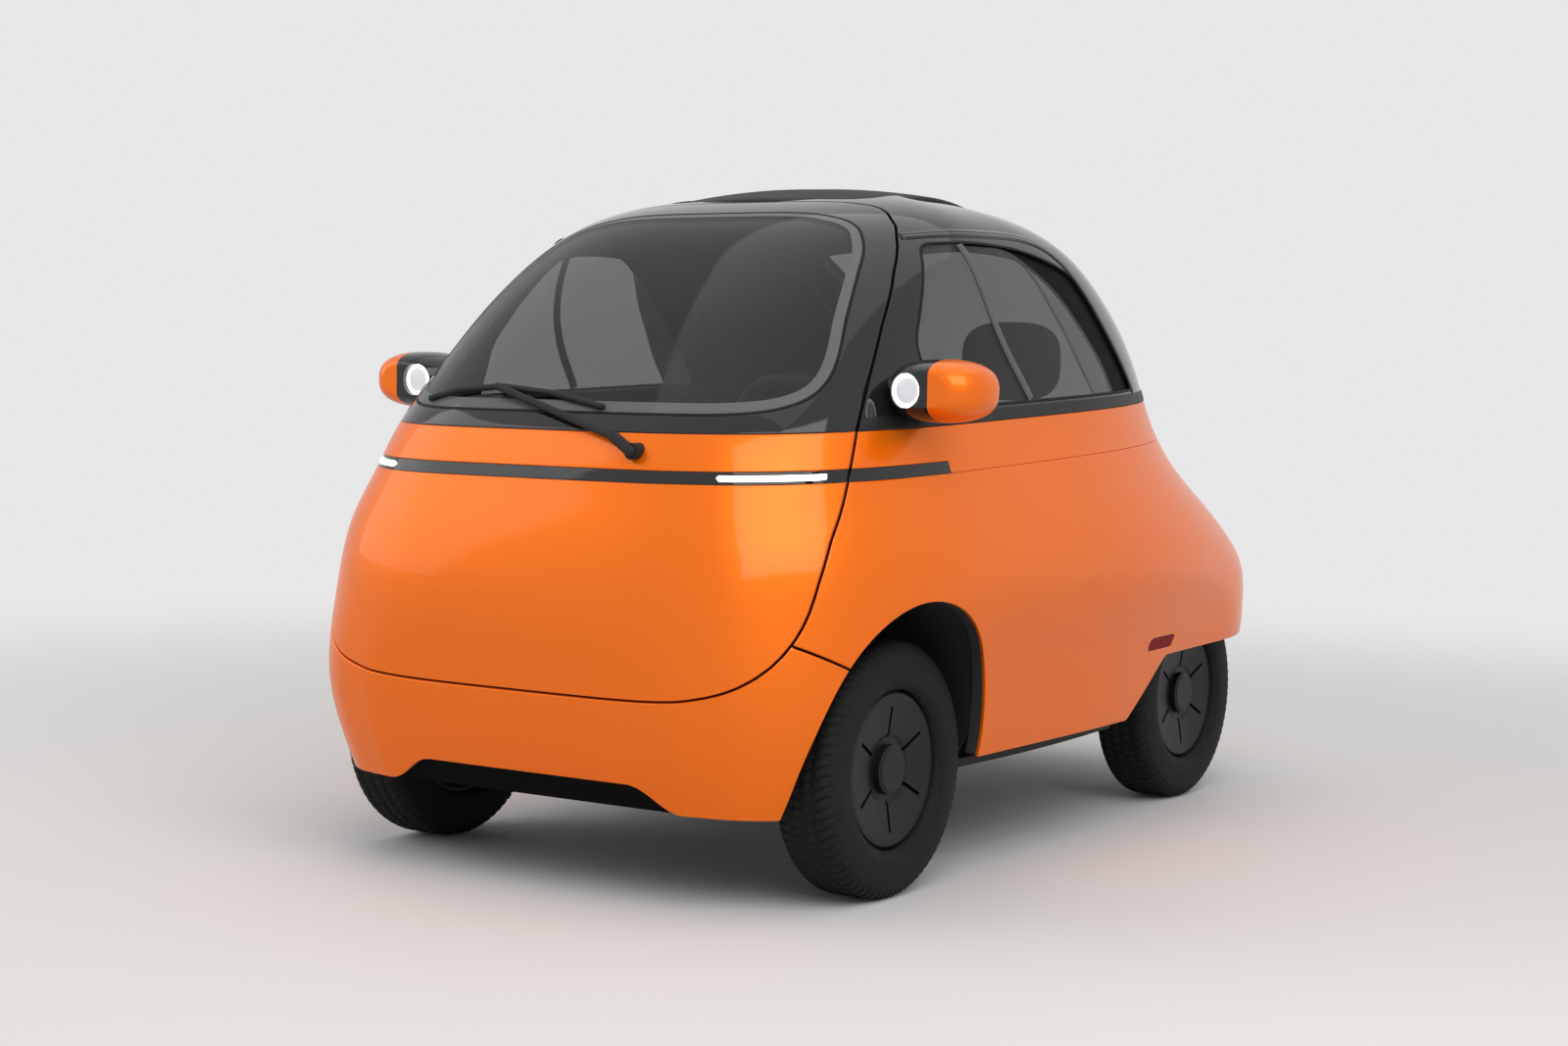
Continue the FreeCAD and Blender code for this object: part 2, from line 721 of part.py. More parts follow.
parts["door_frame"] = largest(door_shell.cut(below(BELT_LOW_Z)).cut(screen_pocket).cut(screen_rest))
parts["windscreen"] = largest(sheet(door_cone(SCREEN_OUTLINE, -GLASS_EDGE_GAP),
                                    GLASS_SET_IN, GLASS_SET_IN + GLASS_THICKNESS))

# Wiper
pivot_top = on_nose(WIPER_PIVOT, WIPER_POST_HEIGHT)
post = rod(on_nose(WIPER_PIVOT, -WIPER_POST_HEIGHT), pivot_top, WIPER_POST_RADIUS)
arm_places = [on_nose(place, WIPER_ARM_STAND) for place in (WIPER_PIVOT, WIPER_KNEE, WIPER_TIP)]
wiper_head = strung(arm_places[:2], WIPER_HEAD_RADIUS)
wiper_arm = strung(arm_places[1:], WIPER_ARM_RADIUS)
wiper_blade = strung([on_nose(place, WIPER_BLADE_STAND) for place in WIPER_BLADE], WIPER_BLADE_RADIUS)
parts["wiper"] = largest(post.fuse([wiper_head, wiper_arm, wiper_blade]).cut(body_form(-SEAT_GAP)))

# Lower front
fixed_shell = shell.cut(door_hole).cut(front_arches).cut(rear_wells).cut(under_body)
skin_low_z = SKIN_SHARES[0][0] * HEIGHT


def intake_top(x, grow):
    """Height of the opening's upper edge, which sweeps down to the bumper's lower edge at its ends"""
    share = (abs(x) - INTAKE_TOP_HALF - grow) / (INTAKE_HALF - INTAKE_TOP_HALF)
    ease = (1 - math.cos(math.pi * min(max(share, 0), 1))) / 2
    return INTAKE_TOP_Z + grow - ease * (INTAKE_TOP_Z + grow - skin_low_z)


def intake_zone(grow):
    run = (INTAKE_HALF - INTAKE_TOP_HALF) / (INTAKE_END_POINTS - 1)
    across = [INTAKE_TOP_HALF + grow + i * run for i in range(INTAKE_END_POINTS)]
    sweep = [V(x, -LENGTH, intake_top(x, grow)) for x in across]
    low = V(across[-1], -LENGTH, 0)
    curve = Part.BSplineCurve()
    curve.interpolate(Points=sweep)
    left_half = [curve.toShape(), Part.makeLine(sweep[-1], low), Part.makeLine(low, V(0, low.y, low.z)),
                 Part.makeLine(V(0, sweep[0].y, sweep[0].z), sweep[0])]
    edges = left_half + [mirrored(edge) for edge in left_half]
    return Part.Face(Part.Wire(Part.__sortEdges__(edges))).extrude(V(0, LENGTH, 0))


intake_pocket = outside(intake_zone(0), INTAKE_DEPTH)
bumper = fixed_shell.common(bumper_zone(0)).cut(intake_pocket)
bumper = bumper.cut(upright(hinge_clear, DOOR_HINGE_Z - SEAT_GAP, hinge_high + RUNNING_GAP))
bumper = bumper.fuse(upright(DOOR_BARREL_RADIUS, hinge_low, DOOR_HINGE_Z - SEAT_GAP))
parts["front_bumper"] = largest(bumper.cut(upright(DOOR_PIN_RADIUS + HINGE_PIN_GAP, hinge_low, DOOR_HINGE_Z)))
grille_web = sheet(intake_zone(-SEAT_GAP), INTAKE_DEPTH / 2, INTAKE_DEPTH - SEAT_GAP)
grille_low = skin_low_z + SEAT_GAP


def grille_rib(x):
    """Upright rib that follows the bumper's face, sunk into the web behind it"""
    top = intake_top(abs(x) + INTAKE_RIB, -SEAT_GAP)
    heights = [grille_low + (top - grille_low) * i / INTAKE_RIB_STEPS for i in range(INTAKE_RIB_STEPS + 1)]
    front = [(nose_y(x, z) + INTAKE_RIB_SET_IN, z) for z in heights]
    back = [(nose_y(x, z) + INTAKE_DEPTH - INTAKE_RIB, z) for z in reversed(heights)]
    return prism_x(front + back, x - INTAKE_RIB / 2, x + INTAKE_RIB / 2)


rib_count = math.floor((INTAKE_HALF - INTAKE_RIB_PITCH) / INTAKE_RIB_PITCH)
ribs = [grille_rib(i * INTAKE_RIB_PITCH) for i in range(-rib_count, rib_count + 1)]
grille_web = grille_web.cut(box(-WIDTH, WIDTH, -LENGTH, 0, -HEIGHT, grille_low))
parts["lower_grille"] = largest(grille_web.fuse(ribs))

# Sides, tail and roof
rest_shell = fixed_shell.cut(bumper_zone(PANEL_GAP)).cut(gate_zone(GATE_GAP))
belt_pocket = outside(band(BELT_LOW_Z, BELT_HIGH_Z + OVERRUN), BELT_DEPTH)
side_shell = rest_shell.common(below(BELT_HIGH_Z)).cut(behind_tail(BODY_WALL + PANEL_GAP))


def marker_prism(gap):
    low, high = MARKER_LOW_Z + gap, MARKER_LOW_Z + MARKER_HEIGHT - gap
    front, rear = MARKER_FRONT_Y + gap, MARKER_REAR_Y - gap
    return prism_x([(front, low), (front + MARKER_SLANT, high), (rear, high), (rear - MARKER_SLANT, low)],
                   -WIDTH, WIDTH)


side_shell = side_shell.cut(belt_pocket).cut(light_pocket).cut(outside(marker_prism(0), MARKER_DEPTH))
parts["side_markers"] = only_solids(sheet(marker_prism(SEAT_GAP), MARKER_SET_IN, MARKER_DEPTH - SEAT_GAP))
left_half = box(0, WIDTH, -LENGTH, LENGTH, 0, HEIGHT)
left_side = largest(side_shell.common(left_half))
parts["right_side_panel"] = mirrored(left_side)
hinge_room = upright(hinge_clear, DOOR_HINGE_Z, hinge_high + RUNNING_GAP)
parts["left_side_panel"] = largest(left_side.cut(hinge_room))
belt_strip = sheet(band(BELT_LOW_Z + SEAT_GAP, BELT_HIGH_Z - SEAT_GAP), 0, BELT_DEPTH - SEAT_GAP)
parts["belt_trims"] = only_solids(belt_strip.cut(door_hole).cut(gate_zone(GATE_GAP)))
parts["side_light_bars"] = only_solids(light_slab.cut(door_hole))
parts["rear_panel"] = largest(outer.common(behind_tail(BODY_WALL)).cut(under_body).cut(
    gate_zone(GATE_GAP)).cut(rear_wells))
upper_shell = rest_shell.cut(below(BELT_HIGH_Z))
window_pocket = both(outside(side_window(0, 0, WIDTH), GLASS_SET_IN + GLASS_THICKNESS + SEAT_GAP))
window_rest = both(side_window(-GLASS_REST, 0, WIDTH))
sunroof = rounded_plan(CANVAS_HALF - CANVAS_LAP, CANVAS_FRONT_Y + CANVAS_LAP, CANVAS_REAR_Y - CANVAS_LAP,
                       CANVAS_CORNER - CANVAS_LAP, HEIGHT / 2, HEIGHT * 2)


def gate_rod(radius, start, end):
    return both(Part.makeCylinder(radius, end - start, V(start, GATE_HINGE_Y, GATE_HINGE_Z), V(1, 0, 0)))


gate_barrel_end = GATE_HINGE_X + GATE_BARREL_LENGTH / 2
gate_barrel_start = GATE_HINGE_X - GATE_BARREL_LENGTH / 2
roof_barrel_end = gate_barrel_end + GATE_BARREL_LENGTH / 2
roof_barrel_start = gate_barrel_start - GATE_BARREL_LENGTH / 2
gate_clear = GATE_BARREL_RADIUS + RUNNING_GAP


def hinge_leaf(x0, x1, hand):
    """Strap from a barrel down into the sheet that carries it, forwards or rearwards of the hinge line"""
    y, z, r = GATE_HINGE_Y, GATE_HINGE_Z, GATE_BARREL_RADIUS
    far = y + hand * GATE_BARREL_LENGTH
    points = [(y, z + r), (far, z - r), (far, z - 3 * r), (y + hand * r / 2, z - 3 * r), (y, z - r)]
    return both(prism_x(points, x0, x1))


def gate_barrels_on_roof():
    spans = ((roof_barrel_start, gate_barrel_start - SEAT_GAP), (gate_barrel_end + SEAT_GAP, roof_barrel_end))
    shape = gate_rod(GATE_PIN_RADIUS, roof_barrel_start, roof_barrel_end)
    for x0, x1 in spans:
        shape = shape.fuse([gate_rod(GATE_BARREL_RADIUS, x0, x1), hinge_leaf(x0, x1, -1)])
    return shape


roof = upper_shell.cut(window_pocket).cut(window_rest).cut(sunroof)
roof = roof.cut(gate_rod(gate_clear, gate_barrel_start - SEAT_GAP, gate_barrel_end + SEAT_GAP))
parts["roof_frame"] = largest(roof.fuse(gate_barrels_on_roof()))
canvas_plan = rounded_plan(CANVAS_HALF, CANVAS_FRONT_Y, CANVAS_REAR_Y, CANVAS_CORNER, HEIGHT / 2, HEIGHT * 2)
crown = FreeCAD.Matrix()
crown.scale(CANVAS_CROWN_WIDTH, CANVAS_CROWN_LENGTH, CANVAS_CROWN)
crown.move(V(0, (CANVAS_FRONT_Y + CANVAS_REAR_Y) / 2, HEIGHT - CANVAS_CROWN))
canvas_top = Part.makeSphere(1).transformGeometry(crown)
parts["roof_canvas"] = largest(canvas_plan.common(canvas_top).cut(skin_solid(-SEAT_GAP)))
parts["left_side_glass"] = largest(sheet(side_window(-GLASS_EDGE_GAP, 0, WIDTH), GLASS_SET_IN,
                                         GLASS_SET_IN + GLASS_THICKNESS))
parts["right_side_glass"] = mirrored(parts["left_side_glass"])


# Tailgate
def gate_window(inset):
    return rounded_plan(GATE_GLASS_HALF - inset, GATE_GLASS_TOP_Y + inset, LENGTH, GATE_CORNER,
                        GATE_GLASS_LOW_Z + inset, HEIGHT)


gate_shell = shell.common(gate_zone(0))
gate_pocket = outside(gate_window(0), GLASS_SET_IN + GLASS_THICKNESS + SEAT_GAP)
gate_light = band(GATE_LIGHT_LOW_Z, GATE_LIGHT_LOW_Z + GATE_LIGHT_HEIGHT).common(
    box(-GATE_LIGHT_HALF, GATE_LIGHT_HALF, 0, LENGTH, 0, HEIGHT))
gate = gate_shell.cut(gate_pocket).cut(gate_window(GLASS_REST)).cut(outside(gate_light, LIGHT_DEPTH))
gate = gate.cut(gate_rod(gate_clear, roof_barrel_start - RUNNING_GAP, roof_barrel_end + RUNNING_GAP))
gate = gate.fuse(gate_rod(GATE_BARREL_RADIUS, gate_barrel_start, gate_barrel_end).fuse(
    hinge_leaf(gate_barrel_start, gate_barrel_end, 1)))
gate = gate.cut(gate_rod(GATE_PIN_RADIUS + HINGE_PIN_GAP, gate_barrel_start, gate_barrel_end))
parts["tailgate"] = largest(gate)
gate_slab = band(GATE_LIGHT_LOW_Z + SEAT_GAP, GATE_LIGHT_LOW_Z + GATE_LIGHT_HEIGHT - SEAT_GAP).common(
    box(-GATE_LIGHT_HALF + SEAT_GAP, GATE_LIGHT_HALF - SEAT_GAP, 0, LENGTH, 0, HEIGHT))
parts["rear_light_bar"] = largest(sheet(gate_slab, LIGHT_SET_IN, LIGHT_DEPTH - SEAT_GAP))
parts["rear_glass"] = largest(sheet(gate_window(GLASS_EDGE_GAP), GLASS_SET_IN,
                                    GLASS_SET_IN + GLASS_THICKNESS))

# Wheelhouse liners
front_liner = oval(FRONT_ARCH_HALF + LINER_GAP + LINER_WALL, FRONT_ARCH_RISE + LINER_GAP + LINER_WALL,
                   FRONT_HOUSE_INNER_X, WIDTH)
front_liner = front_liner.cut(oval(FRONT_ARCH_HALF + LINER_GAP, FRONT_ARCH_RISE + LINER_GAP,
                                   FRONT_HOUSE_INNER_X + LINER_WALL, WIDTH))
front_liner = front_liner.cut(box(0, WIDTH, -LENGTH, LENGTH, 0, AXLE_Z)).common(cabin)
parts["front_wheelhouses"] = only_solids(both(largest(front_liner)))
rear_liner = rear_drum(REAR_WELL_RADIUS + LINER_GAP + LINER_WALL, REAR_HOUSE_INNER_X - LINER_WALL, WIDTH)
rear_liner = rear_liner.cut(rear_drum(REAR_WELL_RADIUS + LINER_GAP, REAR_HOUSE_INNER_X, WIDTH))
rear_liner = rear_liner.cut(box(0, WIDTH, -LENGTH, LENGTH, 0, TAIL_EDGE_Z)).common(cabin)
parts["rear_wheelhouses"] = only_solids(both(largest(rear_liner)))

# Floor
sheet_up = FLOOR_SHEET
floor_side = prism_x([(TOE_Y, TOE_TOP_Z), (TOE_Y, FLOOR_Z), (RISER_Y, FLOOR_Z), (RISER_Y, BOOT_FLOOR_Z),
                      (BOOT_END_Y, BOOT_FLOOR_Z), (BOOT_END_Y, BOOT_FLOOR_Z + sheet_up),
                      (RISER_Y - sheet_up, BOOT_FLOOR_Z + sheet_up), (RISER_Y - sheet_up, FLOOR_Z + sheet_up),
                      (TOE_Y + sheet_up, FLOOR_Z + sheet_up), (TOE_Y + sheet_up, TOE_TOP_Z)],
                     -WIDTH, WIDTH)
house_back = FRONT_AXLE_Y + FRONT_ARCH_HALF + LINER_WALL * 2
front_cut = both(box(FRONT_HOUSE_INNER_X - LINER_GAP, WIDTH, -LENGTH, house_back, 0, HEIGHT))
rear_well_front = REAR_AXLE_Y - REAR_WELL_RADIUS - LINER_WALL * 2
rear_cut = both(box(REAR_HOUSE_INNER_X - LINER_WALL - LINER_GAP, WIDTH, rear_well_front, LENGTH, 0, HEIGHT))
floor = floor_side.common(cabin).cut(front_cut).cut(rear_cut)
lift_pads = [box(LIFT_PAD_X - LIFT_PAD / 2, LIFT_PAD_X + LIFT_PAD / 2, y - LIFT_PAD / 2, y + LIFT_PAD / 2,
                 FLOOR_Z - LIFT_PAD_HEIGHT, FLOOR_Z + sheet_up) for y in (LIFT_PAD_FRONT_Y, LIFT_PAD_REAR_Y)]
parts["floor_tub"] = largest(floor.fuse(both(Part.makeCompound(lift_pads))))


# Wheels
def turned(profile, centre_x, centre_y, outward):
    """Profile of (distance along the axle outwards, radius) places, turned about the axle"""
    points = [V(centre_x + outward * a, centre_y, AXLE_Z + r) for a, r in profile]
    face = Part.Face(Part.makePolygon(points + points[:1]))
    return face.revolve(V(centre_x, centre_y, AXLE_Z), V(1, 0, 0), 360)


def tyre(centre_x, centre_y, outward):
    wall = TYRE_DIAMETER / 2 - RIM_RADIUS
    profile = [(a * TYRE_WIDTH / 2, RIM_RADIUS + r * wall) for a, r in TYRE_SHARES]
    return turned(profile, centre_x, centre_y, outward)


COVER_OUT = TYRE_WIDTH / 2 * COVER_OUT_SHARE


def road_wheel(centre_x, centre_y, outward):
    """Rim, dished cover and raised centre cap turned in one, with its radial slits cut"""
    rim = RIM_RADIUS - SEAT_GAP
    inner = -TYRE_WIDTH / 2 * RIM_INSET_SHARE
    dish = COVER_OUT - COVER_DISH
    cap = dish + CAP_RISE
    profile = [(inner, rim), (inner, rim - RIM_SHEET), (dish - COVER_SHEET * 2, rim - RIM_SHEET),
               (dish - COVER_SHEET, COVER_FLAT_INNER), (dish - COVER_SHEET, HUB_RADIUS),
               (COVER_OUT - HUB_DEPTH, HUB_RADIUS), (COVER_OUT - HUB_DEPTH, HUB_BORE),
               (dish - SPINDLE_END, HUB_BORE), (dish - SPINDLE_END, 0), (cap, 0),
               (cap, CAP_RADIUS - CAP_EDGE), (cap - CAP_EDGE / 2, CAP_RADIUS),
               (dish - CAP_EDGE / 2, CAP_RADIUS), (dish - CAP_EDGE / 2, COVER_FLAT_INNER - CAP_EDGE),
               (dish, COVER_FLAT_INNER), (COVER_OUT, rim - COVER_LIP), (COVER_OUT, rim - COVER_LIP / 2),
               (COVER_OUT - COVER_LIP / 2, rim)]
    wheel = turned(profile, centre_x, centre_y, outward)
    slots = []
    for i in range(COVER_SLOTS):
        slot = box(0, outward * OVERRUN, -COVER_SLOT_WIDTH / 2, COVER_SLOT_WIDTH / 2, COVER_SLOT_INNER,
                   COVER_SLOT_OUTER)
        slot.rotate(V(0, 0, 0), V(1, 0, 0), 360 / COVER_SLOTS * i)
        slot.translate(V(centre_x + outward * (dish - COVER_SHEET * 3), centre_y, AXLE_Z))
        slots.append(slot)
    return wheel.cut(Part.makeCompound(slots))


for end, axle_y, track in (("front", FRONT_AXLE_Y, FRONT_TRACK), ("rear", REAR_AXLE_Y, REAR_TRACK)):
    for side, outward in (("left", 1), ("right", -1)):
        parts[end + "_" + side + "_tyre"] = tyre(outward * track / 2, axle_y, outward)
        parts[end + "_" + side + "_wheel"] = largest(road_wheel(outward * track / 2, axle_y, outward))

# Front suspension and knuckles
kingpin_x = FRONT_TRACK / 2 - KINGPIN_OFFSET
spindle_reach = COVER_OUT - COVER_DISH - SPINDLE_END - SEAT_GAP


def knuckle():
    """Kingpin with its ball studs, the wheel's spindle and the steering arm"""
    centre = V(kingpin_x, FRONT_AXLE_Y, AXLE_Z)
    post_up = V(0, 0, KINGPIN_HALF)
    stud_up = V(0, 0, KINGPIN_HALF + BALL_LENGTH)
    post = rod(centre - post_up, centre + post_up, KINGPIN_RADIUS)
    studs = rod(centre - stud_up, centre + stud_up, BALL_RADIUS)
    spindle = rod(centre, V(FRONT_TRACK / 2 + spindle_reach, centre.y, centre.z), HUB_BORE - SPINDLE_GAP)
    half_width, half_height = STEERING_ARM_WIDTH / 2, STEERING_ARM_THICKNESS / 2
    arm = box(centre.x - half_width, centre.x + half_width, centre.y, centre.y + STEERING_ARM,
              centre.z - half_height, centre.z + half_height)
    arm.rotate(centre, V(0, 0, 1), STEERING_ARM_TURN)
    return post.fuse([studs, spindle, arm]).removeSplitter()


parts["left_knuckle"] = knuckle()
parts["right_knuckle"] = mirrored(parts["left_knuckle"])


def wishbone(z0, root_x, spread):
    """Arm of two legs from its eye at the kingpin to its roots"""
    eye = V(kingpin_x, FRONT_AXLE_Y, z0)
    arm = Part.makeCylinder(ARM_EYE_RADIUS, ARM_THICKNESS, eye)
    for hand in (-1, 1):
        root = V(root_x, FRONT_AXLE_Y + hand * spread, z0)
        run = root - eye
        side = V(-run.y, run.x, 0).normalize() * (ARM_LEG / 2)
        face = Part.Face(Part.makePolygon([eye + side, root + side, root - side, eye - side, eye + side]))
        arm = arm.fuse(face.extrude(V(0, 0, ARM_THICKNESS)))
    return arm.cut(rod(eye - V(0, 0, OVERRUN), eye + V(0, 0, OVERRUN), BALL_RADIUS + SPINDLE_GAP))


low_arm_z = AXLE_Z - KINGPIN_HALF - ARM_GAP - ARM_THICKNESS
high_arm_z = AXLE_Z + KINGPIN_HALF + ARM_GAP
tower_x = FRONT_HOUSE_INNER_X + LINER_WALL + TOWER_GAP
tower_half = HIGH_ARM_SPREAD + SUBFRAME_BORDER
subframe_half = ARM_ROOT_X + SUBFRAME_BORDER
subframe = box(-subframe_half, subframe_half, FRONT_AXLE_Y - ARM_SPREAD - SUBFRAME_BORDER,
               FRONT_AXLE_Y + ARM_SPREAD + SUBFRAME_BORDER, low_arm_z, FLOOR_Z - SEAT_GAP)
tower_foot = both(box(ARM_ROOT_X, tower_x + TOWER_SHEET, FRONT_AXLE_Y - tower_half, FRONT_AXLE_Y + tower_half,
                      low_arm_z, FLOOR_Z - SEAT_GAP))
tower = both(box(tower_x, tower_x + TOWER_SHEET, FRONT_AXLE_Y - tower_half, FRONT_AXLE_Y + tower_half,
                 low_arm_z, high_arm_z + ARM_THICKNESS))
low_arms = both(wishbone(low_arm_z, ARM_ROOT_X, ARM_SPREAD))
high_arms = both(wishbone(high_arm_z, tower_x + TOWER_SHEET / 2, HIGH_ARM_SPREAD))
parts["front_suspension"] = largest(subframe.fuse([tower_foot, tower, low_arms, high_arms]))

# Rear axle
rear_beam_half = REAR_TRACK / 2 - HUB_DEPTH
rear_beam = rod(V(-rear_beam_half, REAR_AXLE_Y, AXLE_Z), V(rear_beam_half, REAR_AXLE_Y, AXLE_Z),
                REAR_BEAM_RADIUS)
rear_spindle_half = REAR_TRACK / 2 + spindle_reach
rear_spindle = rod(V(-rear_spindle_half, REAR_AXLE_Y, AXLE_Z), V(rear_spindle_half, REAR_AXLE_Y, AXLE_Z),
                   HUB_BORE - SPINDLE_GAP)
rear_arms = both(box(REAR_ARM_X, REAR_ARM_X + REAR_ARM_WIDTH, RISER_Y + SEAT_GAP, REAR_AXLE_Y,
                     AXLE_Z - REAR_ARM_WIDTH / 2, AXLE_Z + REAR_ARM_WIDTH / 2))
parts["rear_axle"] = rear_beam.fuse(rear_spindle).fuse(rear_arms)
motor_y = REAR_AXLE_Y - REAR_BEAM_RADIUS - MOTOR_RADIUS - SEAT_GAP
parts["drive_motor"] = rod(V(-MOTOR_LENGTH / 2, motor_y, AXLE_Z), V(MOTOR_LENGTH / 2, motor_y, AXLE_Z),
                           MOTOR_RADIUS)
battery_rear = RISER_Y - sheet_up - BATTERY_GAP
parts["traction_battery"] = box(-BATTERY_WIDTH / 2, BATTERY_WIDTH / 2, battery_rear - BATTERY_LENGTH,
                                battery_rear, FLOOR_Z + sheet_up + SEAT_GAP,
                                FLOOR_Z + sheet_up + BATTERY_HEIGHT)

# Seat frame
seat_frame = box(-SEAT_FRAME_HALF, SEAT_FRAME_HALF, SEAT_FRONT_Y, SEAT_REAR_Y, FLOOR_Z + sheet_up + SEAT_GAP,
                 SEAT_TOP_Z - SEAT_CUSHION - SEAT_GAP)
seat_inner = SEAT_FRAME_HALF - SEAT_FRAME_SHEET
parts["seat_frame"] = seat_frame.cut(box(-seat_inner, seat_inner, SEAT_FRONT_Y + SEAT_FRAME_SHEET,
                                         SEAT_REAR_Y + OVERRUN, 0, HEIGHT))

# Steering wheel, column and instrument housing
hub = V(WHEEL_HAND_X, WHEEL_HAND_Y, WHEEL_HAND_Z)
rake = math.radians(COLUMN_RAKE)
column_way = V(0, -math.cos(rake), -math.sin(rake))
hand_rim = Part.makeTorus(WHEEL_HAND_RADIUS, WHEEL_HAND_GRIP, hub, column_way)
boss = rod(hub, hub + column_way * WHEEL_HAND_BOSS_DEPTH, WHEEL_HAND_BOSS)
spokes = []
for angle in SPOKE_TURNS:
    spoke = box(0, WHEEL_HAND_RADIUS, -SPOKE_WIDTH / 2, SPOKE_WIDTH / 2, SPOKE_NEAR, SPOKE_FAR)
    spoke.rotate(V(0, 0, 0), V(0, 0, 1), angle)
    spoke.rotate(V(0, 0, 0), V(1, 0, 0), 90 + COLUMN_RAKE)
    spoke.translate(hub)
    spokes.append(spoke)
parts["steering_wheel"] = hand_rim.fuse([boss] + spokes)
column_top = hub + column_way * (WHEEL_HAND_BOSS_DEPTH + COLUMN_GAP)
column_knee = column_top + column_way * COLUMN_LENGTH
column_foot = V(hub.x, column_knee.y - COLUMN_FOOT_RUN, FLOOR_Z + sheet_up + SEAT_GAP)
dial_centre = hub + column_way * DIAL_AHEAD + V(0, 0, DIAL_RISE)
dial_foot = dial_centre - V(0, 0, DIAL_HEIGHT / 2 + SEAT_GAP)
dial_stalk = rod(hub + column_way * DIAL_AHEAD, dial_foot, DIAL_STALK / 2)
column = rod(column_top, column_knee, COLUMN_RADIUS).fuse([
    Part.makeSphere(COLUMN_RADIUS, column_knee), dial_stalk,
    rod(column_foot - V(0, 0, OVERRUN), column_knee, COLUMN_RADIUS)])
parts["steering_column"] = column.cut(box(-WIDTH, WIDTH, -LENGTH, LENGTH, -HEIGHT, column_foot.z))
dial = box(hub.x - DIAL_WIDTH / 2, hub.x + DIAL_WIDTH / 2, dial_centre.y - DIAL_DEPTH / 2,
           dial_centre.y + DIAL_DEPTH / 2, dial_centre.z - DIAL_HEIGHT / 2, dial_centre.z + DIAL_HEIGHT / 2)
parts["instrument_housing"] = dial.makeFillet(DIAL_CORNER, dial.Edges)


# Seat and headrests
def soft_block(y0, y1, z0, z1):
    block = box(-SEAT_HALF, SEAT_HALF, y0, y1, z0, z1)
    return largest(block.makeFillet(SEAT_SOFTNESS, block.Edges).common(cabin))


parts["seat_cushion"] = soft_block(SEAT_FRONT_Y, SEAT_REAR_Y, SEAT_TOP_Z - SEAT_CUSHION, SEAT_TOP_Z)
parts["seat_back"] = soft_block(SEAT_REAR_Y - BACK_THICKNESS, SEAT_REAR_Y, SEAT_TOP_Z + SEAT_GAP, BACK_TOP_Z)
rest = box(HEADREST_X - HEADREST_HALF, HEADREST_X + HEADREST_HALF, SEAT_REAR_Y - HEADREST_THICKNESS,
           SEAT_REAR_Y, HEADREST_LOW_Z, HEADREST_LOW_Z + HEADREST_HEIGHT)
parts["headrests"] = only_solids(both(rest.makeFillet(HEADREST_SOFTNESS, rest.Edges)))
post_y = SEAT_REAR_Y - HEADREST_THICKNESS / 2
posts = [rod(V(x, post_y, BACK_TOP_Z + SEAT_GAP), V(x, post_y, HEADREST_LOW_Z - SEAT_GAP), HEADREST_POST)
         for x in (HEADREST_X - HEADREST_POST_SPACING / 2, HEADREST_X + HEADREST_POST_SPACING / 2)]
parts["headrest_posts"] = only_solids(both(Part.makeCompound(posts)))


# Headlamp and mirror pods
def pod_section(y, size):
    points = []
    for i in range(POD_POINTS):
        turn = 2 * math.pi * i / POD_POINTS
        across = power(math.cos(turn), 2 / POD_FULLNESS) * POD_HALF_WIDTH * size
        up = power(math.sin(turn), 2 / POD_FULLNESS) * POD_HALF_HEIGHT * size
        points.append(V(POD_X + across, y, POD_Z + up))
    return Part.Wire([closed_curve(points, chord_steps(points)).toShape()])


pod_rear_y = POD_FRONT_Y + POD_LENGTH
pod_sections = [pod_section(POD_FRONT_Y + along * POD_LENGTH, size) for along, size in POD_SHARES]
pod = Part.makeLoft(pod_sections, True, False)
mirror_block = Part.Face(pod_section(pod_rear_y - MIRROR_SET_IN, MIRROR_SHARE)).extrude(V(0, OVERRUN, 0))
lamp_back = V(LAMP_X, POD_FRONT_Y + LAMP_DEPTH, POD_Z)
lamp_bore = rod(lamp_back - V(0, OVERRUN, 0), lamp_back, LAMP_RADIUS)
cap_zone = box(POD_SEAM_X, WIDTH, -LENGTH, LENGTH, 0, HEIGHT)
cowl_zone = box(0, POD_SEAM_X - POD_SEAM_GAP, -LENGTH, LENGTH, 0, HEIGHT)
stub = rod(V(HALF_WIDTH / 2, POD_STUB_Y, POD_Z), V(POD_X, POD_STUB_Y, POD_Z), POD_STUB_RADIUS)
cowl = pod.common(cowl_zone).fuse(stub).cut(lamp_bore).cut(mirror_block).cut(body_form(-SEAT_GAP))
parts["mirror_pods"] = only_solids(both(largest(cowl)))
parts["mirror_caps"] = only_solids(both(largest(pod.common(cap_zone).cut(mirror_block).cut(stub))))
mirror_size = MIRROR_SHARE - SEAT_GAP / POD_HALF_HEIGHT
mirror_pane = Part.Face(pod_section(pod_rear_y - MIRROR_SET_IN + SEAT_GAP, mirror_size))
mirror = mirror_pane.extrude(V(0, MIRROR_SET_IN / 2, 0)).cut(body_form(-SEAT_GAP))
parts["mirror_glasses"] = only_solids(both(largest(mirror)))
lamp = rod(lamp_back - V(0, OVERRUN, 0), lamp_back - V(0, SEAT_GAP, 0), LAMP_RADIUS - SEAT_GAP)
lamp = lamp.common(pod).cut(box(0, WIDTH, -LENGTH, POD_FRONT_Y + LAMP_SET_IN, 0, HEIGHT))
parts["headlamp_lenses"] = only_solids(both(lamp))

for name, shape in parts.items():
    solids = shape.Solids
    print(name, len(solids), shape.isValid())
    shape.exportStep("parts/" + name + ".step")
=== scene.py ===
"""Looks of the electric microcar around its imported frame, in metres, front to -Y, its left to +X"""
import math

